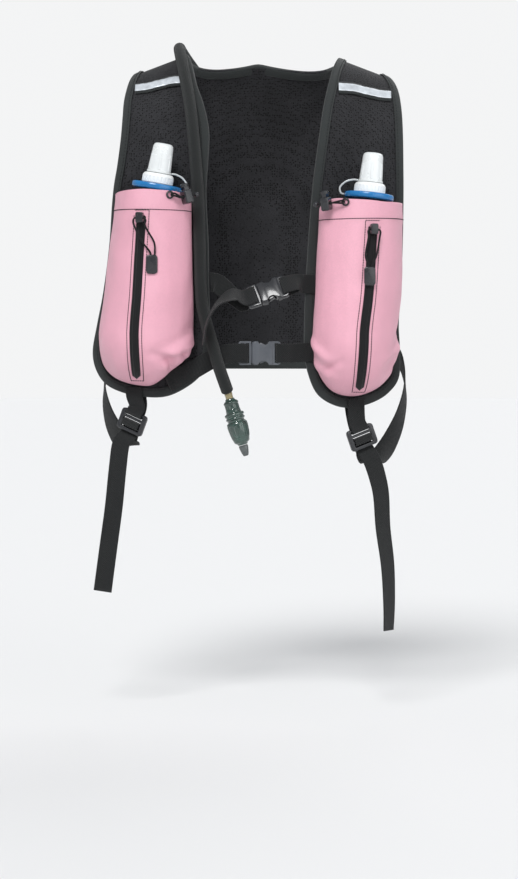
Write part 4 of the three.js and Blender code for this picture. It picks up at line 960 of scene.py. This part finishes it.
for side, spec in PULLS.items():
    column = POCKET[side]["zip"]["column"][0]
    slider = pocket_stand(side, column, spec["slider"], 2.5)
    tab = pocket_stand(side, column_near(side, *spec["tab"]), spec["tab"][1], 1.9 + spec["over"])

    def lie(place, height):
        return pocket_stand(side, column_near(side, *place), place[1], height)[0]

    loop = [*all_in(tab, [(-2.2, 8.6, 0), (-2.6, 13, 0.4)]), lie(spec["left"], 4.6),
            *all_in(slider, [(-5.8, -9, 2), (-6.6, -2.6, 3.2), (-3, 0.1, 3.4), (3, 0.1, 3.4),
                             (6.6, -2.6, 3.2), (6.2, -9, 2)]),
            lie(spec["right"], 4.6), *all_in(tab, [(2.6, 13, 0.4), (2.2, 8.6, 0)])]
    cord = tube_along("pull_cord_" + side, curve_through(loop, 8), 1.0, 14)
    finished(cord, braid, "zip_pull_cord_" + side)

    away = 1 if side == "right" else -1
    ring = pocket_stand(side, column_near(side, *spec["eyelet"]), spec["eyelet"][1], 0.55)
    origin = pocket_stand(side, column_near(side, *spec["lock"]), spec["lock"][1], 8.6)[0]
    x = Vector(spec["way"]).normalized() * away
    barrel = Vector(spec["barrel"])
    z = x.cross(barrel).normalized()
    lock = (origin, x, z.cross(x).normalized(), z)

    round_ring = [(3.6, 1.2, 4.9), (1.5, 1.08, 2.9), (1.1, 0, 1.5), (1.5, -1.08, 2.9), (3.6, -1.2, 4.9)]
    elastic = [*all_in(lock, [(away * far, 0, 1.2) for far in (9.4, 6, -6)]),
               *all_in(ring, [(away * far, y, height) for far, y, height in round_ring]),
               *all_in(lock, [(away * far, 0, -1.2) for far in (-6, 6, 9.4)])]
    cord = tube_along("elastic_cord_" + side, curve_through(elastic, 8), 1.0, 14)
    finished(cord, braid, "cinch_cord_" + side)


# Soft flasks
# A flask of clear film, flattened from front to back, stands in each pocket. It has a blue moulded collar,
# a white screw cap with grip ribs, a milky cover over the drinking spout, and the cover's thin tether.
FLASK = {
    "right": {"collar": (-106.7, 141.4), "foot": (-119, 310), "tether": -1, "mouth": -5.8, "behind": 3.9,
              "lean": 9.8},
    "left": {"collar": (116.7, 151.3), "foot": (104, 320), "tether": 1, "mouth": -4.5, "behind": 4.6,
             "lean": 5.9},
}
clear_film = moulded("clear_film", (0.70, 0.78, 0.82), 0.2, 300, 0.0001, (0.95, 1.05),
                     transmission=0.5, alpha=0.55, coat=0.4)
blue_plastic = moulded("blue_plastic", (0.010, 0.17, 0.44), 0.28, 600, 0.00003, (0.9, 1.12), coat=0.3)
white_plastic = moulded("white_plastic", (0.82, 0.84, 0.84), 0.38, 700, 0.00003, (0.97, 1.03))
milky_plastic = moulded("milky_plastic", (0.80, 0.83, 0.83), 0.26, 500, 0.00003, (0.96, 1.04),
                        transmission=0.12, coat=0.25)
tether_plastic = moulded("tether_plastic", (0.66, 0.69, 0.70), 0.3, 500, 0.00003, (0.96, 1.04),
                         transmission=0.3, coat=0.2)


def cap_groove(face):
    """Every third face round the cap's skirt, pressed in so that the rest stand as grip ribs."""
    skirt = 0.0051 < face.center.z < 0.0105 and abs(face.normal.z) < 0.3
    return skirt and round(around(face) / 5 - 0.5) % 3 == 0


def cover_flute(face):
    """The faces of six low ribs up the spout cover's side."""
    side_wall = 0.018 < face.center.z < 0.037 and abs(face.normal.z) < 0.4
    return side_wall and 22 < around(face) % 60 < 38


FILM = [(12, -167.6), (18.5, -166), (24, -161), (27.5, -154), (30, -145), (31, -134), (31, -115), (31, -95),
        (30, -72), (28.5, -50), (26, -32), (23.6, -19), (22, -12)]
COLLAR = [(17, -3.4), (24.2, -3.4), (25.6, -2.6), (26, -1.2), (26, 1.4), (25.4, 2.9), (23, 3.45), (17, 3.45)]
CAP = [(15.6, 3.9), (16.5, 4.2), (16.5, 5.0), (16.5, 10.6), (16.3, 11.6), (15.2, 13.4), (13.9, 14.2),
       (12.6, 14.4)]
COVER = [(12.2, 14.8), (13, 15), (13, 16.8), (12.3, 17.6), (11.9, 24), (11.2, 35), (10.7, 42), (10.1, 44.2),
         (8.9, 45.6), (7, 46.2), (3.5, 46.3)]
FLATTENED = 0.76
for side, spec in FLASK.items():
    far = 31 * FLATTENED + spec["behind"]
    (cx, cd), (fx, fd) = spec["collar"], spec["foot"]
    top = form_at(cx, turn_of(cd)) + Vector((0, -far, 0))
    low = form_at(fx, turn_of(fd)) + Vector((0, -far, 0))
    lean, front = spec["lean"] * RAD, Vector((0, -1, 0))
    axis = Vector((math.sin(lean), (top - low).normalized().y, math.cos(lean))).normalized()
    stand = stand_at(top, axis, front)
    film = turned("flask_film_" + side, FILM + [(21, spec["mouth"])], 48, 0)
    squash(film, FLATTENED)
    put(film, *stand_at(top, top - low, front))
    collar = turned("collar_ring_" + side, COLLAR, 64, 0.25)
    put(collar, *stand)
    cap = turned("screw_cap_" + side, CAP, 72, 0)
    inset(cap, cap_groove, 0.0002, -0.0006, 35, each=True)
    put(cap, *stand)
    cover = turned("spout_cover_" + side, COVER, 56, 0)
    inset(cover, cover_flute, 0.0005, 0.0005, 40)
    put(cover, *stand)
    t = spec["tether"]
    route = all_in(stand, [(t * x, 0, z) for x, z in
                           ((13.3, 16), (18, 16.2), (25.5, 13.5), (31.3, 7), (29.8, 0.9), (26.2, 0))])
    tether = tube_along("cover_strap_" + side, curve_through(route, 8), 1.0, 14)
    finished(film, clear_film, "flask_body_" + side)
    finished(collar, blue_plastic, "flask_collar_" + side)
    finished(cap, white_plastic, "flask_cap_" + side)
    finished(cover, milky_plastic, "flask_cover_" + side)
    finished(tether, tether_plastic, "cover_tether_" + side)


# Reflective tape
# Silver film on a black carrier band is sewn across each shoulder between the bindings, slightly wavy.
silver, tree, shader, place, tone = toned("reflective_film", (0.66, 0.70, 0.74), 90, 0.78, 1.2)
beads = node(tree, "ShaderNodeTexVoronoi", {"Vector": place.outputs["Object"]}, values={"Scale": 1400.0})
in_relief(tree, shader, beads.outputs["Distance"], 0.4, 0.0001)
shader.inputs["Roughness"].default_value = 0.34
shader.inputs["Metallic"].default_value = 0.35
BANDS = {"right": ((-132.2, 24), (-78.6, 30)), "left": ((86, 36), (143, 29.5))}


def on_band(side, t, up):
    """A place on the form along a band's middle line, and a distance up from it."""
    (x0, drop0), (x1, drop1) = BANDS[side]
    x, q = x0 + (x1 - x0) * t, turn_of(drop0 + (drop1 - drop0) * t)
    return moved(x, q, step_q(x, q).normalized() * -1, up)


for side, turned_by in (("right", -1), ("left", 1)):
    for name, height, lift, thick, material, slot, replaced in (
            ("carrier_band_", 16.5, 1.5, 0.8, ribbed_tape, "binding_tape", "reflective_band_"),
            ("silver_strip_", 10.5, 2.35, 0.45, silver, "reflective_film", "reflective_tape_")):
        rows = []
        for r in range(7):
            row = []
            for t in (k / 40 for k in range(41)):
                ripple = 0.25 * math.sin(t * 19 + 1 + turned_by) * math.sin(math.pi * t)
                ripple += 0.12 * math.sin(t * 47 + 1)
                wave = 1.3 * math.sin(2 * math.pi * t) * turned_by
                row.append(lifted(*on_band(side, t, (r / 6 - 0.5) * -height + wave), lift + ripple))
            rows.append(row)
        strip = cloth(name + side, rows)
        face_out(strip, -1)
        apply(strip, "SOLIDIFY", thickness=thick * MM, offset=-1)
        finished(strip, material, replaced + side)
        for share in (0.07, 0.93) if name == "carrier_band_" else ():
            places = [on_band(side, k / 30, (share - 0.5) * -height) for k in range(31)]
            seam = [(lifted(*at, 1.65), outward(*at)) for at in places]
            sewn("band_stitches_%s_%d" % (side, share * 10), seam, 2.0, 1.2, 0.25)


# Buckles and ladder locks
# Side-release buckles and ladder locks are moulded in acetal, with rounded rims and a satin face.
# The lower buckle is the same plastic as the upper one; its lighter blue-grey colour is a painted reflection
# of its sheen.
# Painted reflection: this lighter blue-grey stands in for the sheen on the lower buckle, not a different
# plastic.
painted_sheen_plastic = moulded("painted_sheen_plastic", (0.075, 0.082, 0.095), 0.34, 1100, 0.00004, (0.85, 1.25), coat=0.2)
for name, plastic in (("upper", black_plastic), ("lower", painted_sheen_plastic)):
    rounded(name + "_prong", name + "_buckle_prong", 0.7, plastic)
    rounded(name + "_socket", name + "_buckle_socket", 0.8, plastic)
for side in ("right", "left"):
    rounded("ladder_" + side, "ladder_lock_" + side, 0.6, black_plastic)


# Chest straps
# 20 mm webbing: each half is sewn to its panel and runs through its buckle, the right halves back over
# their bars. The upper right strap ends in a loose tail that curls down beside the hose.
webbing = woven("black_webbing", (0.015, 0.0165, 0.017), 420, 520, 0.74, 0.0007, 0.12)
BUCKLES = {"upper": ((9, -115, -252), 18, 30), "lower": ((1.5, -112, -316), 0, 0)}
ROUND_BAR = [(-24, -3.8), (-14.4, -3.8), (-13, -3.3), (-12.4, -2.2), (-12.4, 2.2), (-13, 3.3), (-14.4, 3.8),
             (-24, 3.8)]
ROUND_END = [(34, 1), (26, 3.3), (20.2, 3.9), (18.6, 3.4), (17.9, 2.2), (17.9, -2.2), (18.6, -3.4),
             (20.2, -3.9), (26, -3.6), (33, -2.6)]
OVER = 2.5
UP = Vector((0, 0, 1))


def buckle_stand(name):
    """A buckle's frame: along it, up along its face and out of it."""
    at, turn, roll = BUCKLES[name]
    x = Vector((math.cos(turn * RAD), 0, math.sin(turn * RAD)))
    near_up = Vector((-x.z, 0, x.x)) * math.cos(roll * RAD) + Vector((0, math.sin(roll * RAD), 0))
    z = x.cross(near_up).normalized()
    return Vector(at), x, z.cross(x).normalized(), z


def free(x, y, z, side=(0, 0, 1)):
    """A station of webbing at a place in space."""
    return Vector((x, y, z)), Vector(side).normalized()


def laid(x, drop, lift=OVER, side=UP):
    """A station of webbing that lies on the form."""
    out = outward(x, turn_of(drop))
    return on(x, drop, lift), (side - out * side.dot(out)).normalized()


def in_buckle(name, places):
    """Stations of webbing at places along a buckle and out from its middle."""
    stand = buckle_stand(name)
    return [(in_frame(stand, x, 0, z), stand[2]) for x, z in places]


def web(name, stations, replaced, width=20):
    """Webbing 1.4 mm thick through stations of a place and its width's direction, with raised edges."""
    middles = curve_through([s[0] for s in stations], 5)
    sides = curve_through([s[1] for s in stations], 5)
    h, t = width / 2, 0.7
    edge = [(h, 0), (h - 0.15, 0.7), (h - 0.7, 1), (h - 1.5, 0.9), (h / 2, 0.86)]
    top = [(-a, b) for a, b in edge] + [(0, 0.88)] + edge[::-1]
    profile = top + [(a, -b) for a, b in top[-2::-1]]
    rows = []
    for i, (middle, side) in enumerate(zip(middles, sides)):
        along = heading(middles, i).normalized()
        across = (side - along * side.dot(along)).normalized()
        face = along.cross(across)
        rows.append([middle + across * a + face * (b * t) for a, b in profile])
    strap = cloth(name, rows, tube=True)
    close_ends(strap)
    finished(strap, webbing, replaced)


FROM_PANEL = [(-0.2826, -0.9554, -0.6639, 0, 0, 1), (-0.2674, -0.9589, -0.6642, 0, 0, 1),
              (-0.2275, -0.971, -0.672, -0.05, 0.1, 0.99)]
LOOSE_END = [(-0.1348, -1.0982, -0.7025, -0.2, 0.72, 0.66), (-0.1882, -1.1607, -0.7135, -0.25, 0.9, 0.35),
             (-0.2388, -1.2143, -0.7314, -0.2, 0.97, 0.1), (-0.2781, -1.25, -0.7576, -0.15, 0.98, 0),
             (-0.3062, -1.2634, -0.7934, -0.12, 0.99, 0), (-0.323, -1.2634, -0.8485, -0.1, 0.99, 0)]


def through(table):
    """Stations of a free strap: shares of half width, chest depth and front length, and the way across."""
    return [free(x * HALF_WIDTH, y * CHEST_DEPTH, z * FRONT_LENGTH, way) for x, y, z, *way in table]


web("upper_webbing_right", [
    *through(FROM_PANEL), *in_buckle("upper", [(-29, -4.8), *ROUND_BAR]), *through(LOOSE_END)],
    "upper_strap_right")
web("upper_webbing_left", [
    laid(60.2, 243), laid(51.1, 243), *through([(0.2612, -1.0054, -0.668, 0, 0, 1)]),
    *in_buckle("upper", ROUND_END)], "upper_strap_left")
slant = Vector((-0.436, 0, 0.9))
web("lower_webbing_right", [
    *[laid(x, drop, OVER, slant) for x, drop in ((-95, 348), (-80, 340.5), (-66, 332.5), (-55, 326))],
    free(-46, -112, -320.8, (-0.3, 0, 0.95)), free(-37, -113.4, -317.5, (-0.1, 0, 1)),
    *in_buckle("lower", [*ROUND_BAR[::-1], (-33, -2.6)])], "lower_strap_right")
web("lower_webbing_left", [
    laid(59, 315), laid(50, 315), free(44, -112.2, -315.5), *in_buckle("lower", ROUND_END)],
    "lower_strap_left")


# Hem tabs, side straps and tails
# A webbing tab holds a ladder lock under each panel; the side strap comes round from the back, threads
# the lock and hangs down in a long tail with a cut end.
HEM = {
    "right": {
        "at": (-135, 389.5), "tilt": 22, "hem": (-131, 361.3),
        "back": [(-137, -66, -415, 0.95, 0.3, 0), (-143, -52, -414, 0.8, 0.3, 0.5),
                 (-153, -34, -404, 0.5, 0, 0.8), (-164, -12, -384, 0.3, -0.3, 0.9),
                 (-170, 12, -358, 0.1, -0.4, 0.9), (-167, 38, -333, 0, -0.3, 0.95),
                 (-152, 63, -311, 0, -0.1, 1)],
        "anchor": [(-139, -304), (-128, -302), (-114, -300)],
        "tail": [(-146, -82, -412), (-150, -81, -440), (-154, -81, -480), (-160, -81, -525),
                 (-166, -81, -570.5)],
        "tail_sides": [(0.95, -0.3, -0.2), (0.97, -0.2, -0.12)]},
    "left": {
        "at": (111, 405.6), "tilt": -20, "hem": (103.3, 373.8),
        "back": [(121, -76, -432, 0.95, -0.3, 0), (130, -58, -428, 0.8, -0.3, -0.5),
                 (143, -36, -412, 0.5, 0, -0.8), (156, -10, -386, 0.3, 0.3, -0.9),
                 (163, 18, -356, 0.1, 0.4, -0.9), (160, 44, -328, 0, 0.3, -0.95),
                 (149, 62, -311, 0, 0.1, -1)],
        "anchor": [(139, -304), (128, -302), (114, -300)],
        "tail": [(121, -92, -430), (127, -91, -448), (131, -90, -468), (133, -89, -502), (138, -88, -542),
                 (139.6, -87, -582), (139, -87, -611.5)],
        "tail_sides": [(0.95, 0.3, 0.25), (0.55, 0.82, 0.02)]},
}
for side, spec in HEM.items():
    at, hem = spec["at"], spec["hem"]
    q = turn_of(at[1])
    out = outward(at[0], q)
    x = UP.cross(out).normalized()
    lean = spec["tilt"] * RAD
    across = x * math.cos(lean) - UP * math.sin(lean)
    near_up = x * math.sin(lean) + UP * math.cos(lean)
    z = across.cross(near_up).normalized()
    stand = (lifted(at[0], q, -2), across.normalized(), z.cross(across).normalized(), z)

    def stations(places):
        """Stations of webbing at places up from the ladder lock and out from it."""
        return [(in_frame(stand, 0, y, z), across) for y, z in places]

    web("hem_tab_web_" + side, [
        laid(hem[0], hem[1] - 9, OVER, x), laid(hem[0], hem[1], OVER, x),
        *stations([(18, 2), (12, 3.4), (10, 3.6), (7.9, 3.4), (7.05, 2.4), (7.05, -2.4), (7.9, -3.4),
                   (10, -3.6), (12, -3.4), (18, -2.4)]),
        laid(hem[0], hem[1], -7, x), laid(hem[0], hem[1] - 9, -7, x)], "hem_tab_" + side, 19)
    first, last = (Vector(way) for way in spec["tail_sides"])
    sides = [first.lerp(last, i / (len(spec["tail"]) - 1)) for i in range(len(spec["tail"]))]
    along_back = UP if side == "right" else -UP
    web("side_webbing_" + side, [
        *[laid(ax, drop, OVER + 0.5, along_back) for ax, drop in spec["anchor"][::-1]],
        *[free(bx, by, bz, way) for bx, by, bz, *way in spec["back"][::-1]],
        *stations([(-20, -8), (-15, -6), (-9.6, -5.2), (-4.5, -4.5), (-1.5, -3.8), (0.2, -3.3), (0.8, -2.2),
                   (0.8, 2.2), (0.1, 3.3), (-1.3, 3.7), (-3.7, 3.7), (-5.1, 3.3), (-5.8, 2.2), (-5.8, -1.4),
                   (-6.6, -2.8), (-8.4, -3.3), (-11.5, -3.3), (-13.5, -2.9)]),
        *[free(*place, way) for place, way in zip(spec["tail"], sides)]], "side_strap_" + side)


# Back panel
# The hidden back is one padded mesh panel between the shoulder ends, with a plain neckline and hem. It is
# seamed to the front panels at the shoulders, and bound with the same tape.
NECK_DROP = 22
BACK_HEM = 335
ARMHOLE = [(drop, right * HALF_WIDTH, left * HALF_WIDTH) for drop, right, left in (
    (0, 0.758, 0.803), (2.5, 0.753, 0.798), (9, 0.742, 0.781), (20, 0.72, 0.753), (37, 0.691, 0.719),
    (58, 0.663, 0.68), (85, 0.635, 0.646), (115, 0.618, 0.624), (150, 0.618, 0.618), (200, 0.652, 0.652),
    (250, 0.719, 0.719), (300, 0.775, 0.775), (311, 0.773, 0.773))]
HEM_SHARES = [1, 0.94, 0.84, 0.72, 0.6, 0.56, 0.5, 0.38, 0.22, 0]
neck_out = {"right": 0.435 * HALF_WIDTH, "left": 0.494 * HALF_WIDTH}


def back_top(side, share):
    """A place on the shoulder seam or the neckline."""
    sign, neck = FRONT[side]["sign"], neck_out[side]
    arm = ARMHOLE[0][1 if side == "right" else 2]
    if share >= 0.6:
        return sign * (neck + (arm - neck) * (share - 0.6) / 0.4), SEAM
    t = {0.56: 0.993, 0.5: 0.97, 0.38: 0.8, 0.22: 0.5, 0: 0}[share]
    return sign * neck * t, turn_of(NECK_DROP * math.sqrt(1 - t * t))


back_columns = [("right", s) for s in HEM_SHARES] + [("left", s) for s in HEM_SHARES[:-1][::-1]]
arm_side = {"right": [(-right, -max(SEAM, turn_of(drop))) for drop, right, _ in ARMHOLE],
            "left": [(left, -max(SEAM, turn_of(drop))) for drop, _, left in ARMHOLE]}
back_hem = []
for side, s in back_columns:
    corner = 13 * max(0, (s - 0.8) / 0.2) ** 2
    back_hem.append((FRONT[side]["sign"] * s * 0.765 * HALF_WIDTH, -turn_of(BACK_HEM - corner)))
outer_edge = arm_side["right"] + back_hem + arm_side["left"][::-1]
neck_edge = []
for side, s in back_columns:
    if s <= 0.6:
        x, q = back_top(side, s)
        neck_edge.append((x, -q))
out_in = [moved(x, q, way, 1.5) for x, q, way in with_inward(outer_edge, 1)]
neck_in = [moved(x, q, way, 1.5) for x, q, way in with_inward(neck_edge, -1)]
arm_rows = len(ARMHOLE)
inner_side = {"right": out_in[:arm_rows], "left": out_in[-arm_rows:][::-1]}
first_neck = next(i for i, (_, s) in enumerate(back_columns) if s <= 0.6)
grid = []
for r, (drop, _, _) in enumerate(ARMHOLE):
    row = []
    for c, (side, s) in enumerate(back_columns):
        sign, limit = FRONT[side]["sign"], inner_side[side]
        if s == 1:
            row.append((limit[r][0], -max(SEAM, turn_of(drop))))
            continue
        if s <= 0.6:
            top_x, top_q = neck_in[c - first_neck]
            top_drop = SHOULDER_DROP * (1 - math.cos(abs(top_q) * math.pi / 2))
        else:
            near_neck = sign * neck_out[side]
            top_x, top_drop = near_neck + (limit[0][0] - near_neck) * (s - 0.6) / 0.4, 0
        share = drop / ARMHOLE[-1][0]
        here = top_drop + (ARMHOLE[-1][0] - top_drop) * share
        wide = abs(limit[r][0]) / abs(limit[0][0])
        even = sign * s * abs(limit[r][0])
        far = top_x * wide + (even - top_x * wide) * min(1, share * 1.2)
        row.append((far, -max(SEAM, turn_of(here))))
    grid.append(row)
grid.append(out_in[arm_rows:-arm_rows])
back = cloth("back_panel_mesh", [[form_at(x, q) for x, q in row] for row in grid])
padding(back, 4)
finished(back, spacer, "back_panel")
bound("back", outer_edge, 1, "binding_back")
bound("neck", neck_edge, -1, "binding_neck")


# Reservoir and its pocket
# A flat film bladder stands in an open-topped mesh pocket, which is sewn on the back panel. The hose comes
# from the bladder's top.
POUCH_TOP = 88
POUCH_CORNER = 275
POUCH_HALF = 95
angles = [180 - 180 * k / 36 for k in range(37)]


def pocket_back(turn, drop, tall, narrow):
    """A place on the reservoir pocket's face, by a turn across it from one seam to the other."""
    lift = 0.3 + 27 * tall * math.sin(turn * RAD) ** 0.75 if 0 < turn < 180 else 0.3
    return on(POUCH_HALF * narrow * math.cos(turn * RAD), -drop, lift)


rows = []
for k in range(25):
    drop = POUCH_TOP + (POUCH_CORNER - POUCH_TOP) * k / 24
    rows.append([pocket_back(a, drop, 0.9 + 0.1 * min(1, (drop - POUCH_TOP) / 27), 1) for a in angles])
for way in (12, 24, 36, 48, 60, 70, 80, 90):
    c = math.cos(way * RAD)
    drop = POUCH_CORNER + 39 * math.sin(way * RAD)
    rows.append([pocket_back(a, drop, max(c, 0.001), 0.88 + 0.12 * c) for a in angles])
pouch = cloth("reservoir_pouch", rows)
face_out(pouch, 1)
apply(pouch, "SUBSURF", levels=1, render_levels=1)
apply(pouch, "SOLIDIFY", thickness=1.6 * MM, offset=-1, use_even_offset=False)
finished(pouch, spacer, "reservoir_pocket")
mouth = []
for turn in (4 + 172 * k / 120 for k in range(121)):
    out = outward(POUCH_HALF * math.cos(turn * RAD), -turn_of(POUCH_TOP + 7))
    mouth.append((pocket_back(turn, POUCH_TOP + 7, 0.93, 1) + out * 0.4, out))
sewn("pouch_stitches", mouth, 2.3, 1.3, 0.3)

across_shares = [-1 + k / 12 for k in range(25)]
fills = [(112, 0.62), (118, 0.72), (125, 0.8), (140, 0.92), (160, 1), (190, 1), (220, 1), (242, 0.92),
         (262, 0.8), (278, 0.55), (290, 0.3)]
front_face = [[on(c * 72, -drop, 2.6 + 17 * full * (1 - c ** 4)) for c in across_shares]
              for drop, full in fills]
back_face = [[on(c * 72, -drop, 0.6) for c in across_shares] for drop, _ in fills]
rows = [a + b[::-1] + a[:1] for a, b in zip(front_face, back_face)]
bladder = cloth("reservoir_film", rows, tube=True)
close_ends(bladder)
finished(bladder, clear_film, "reservoir")
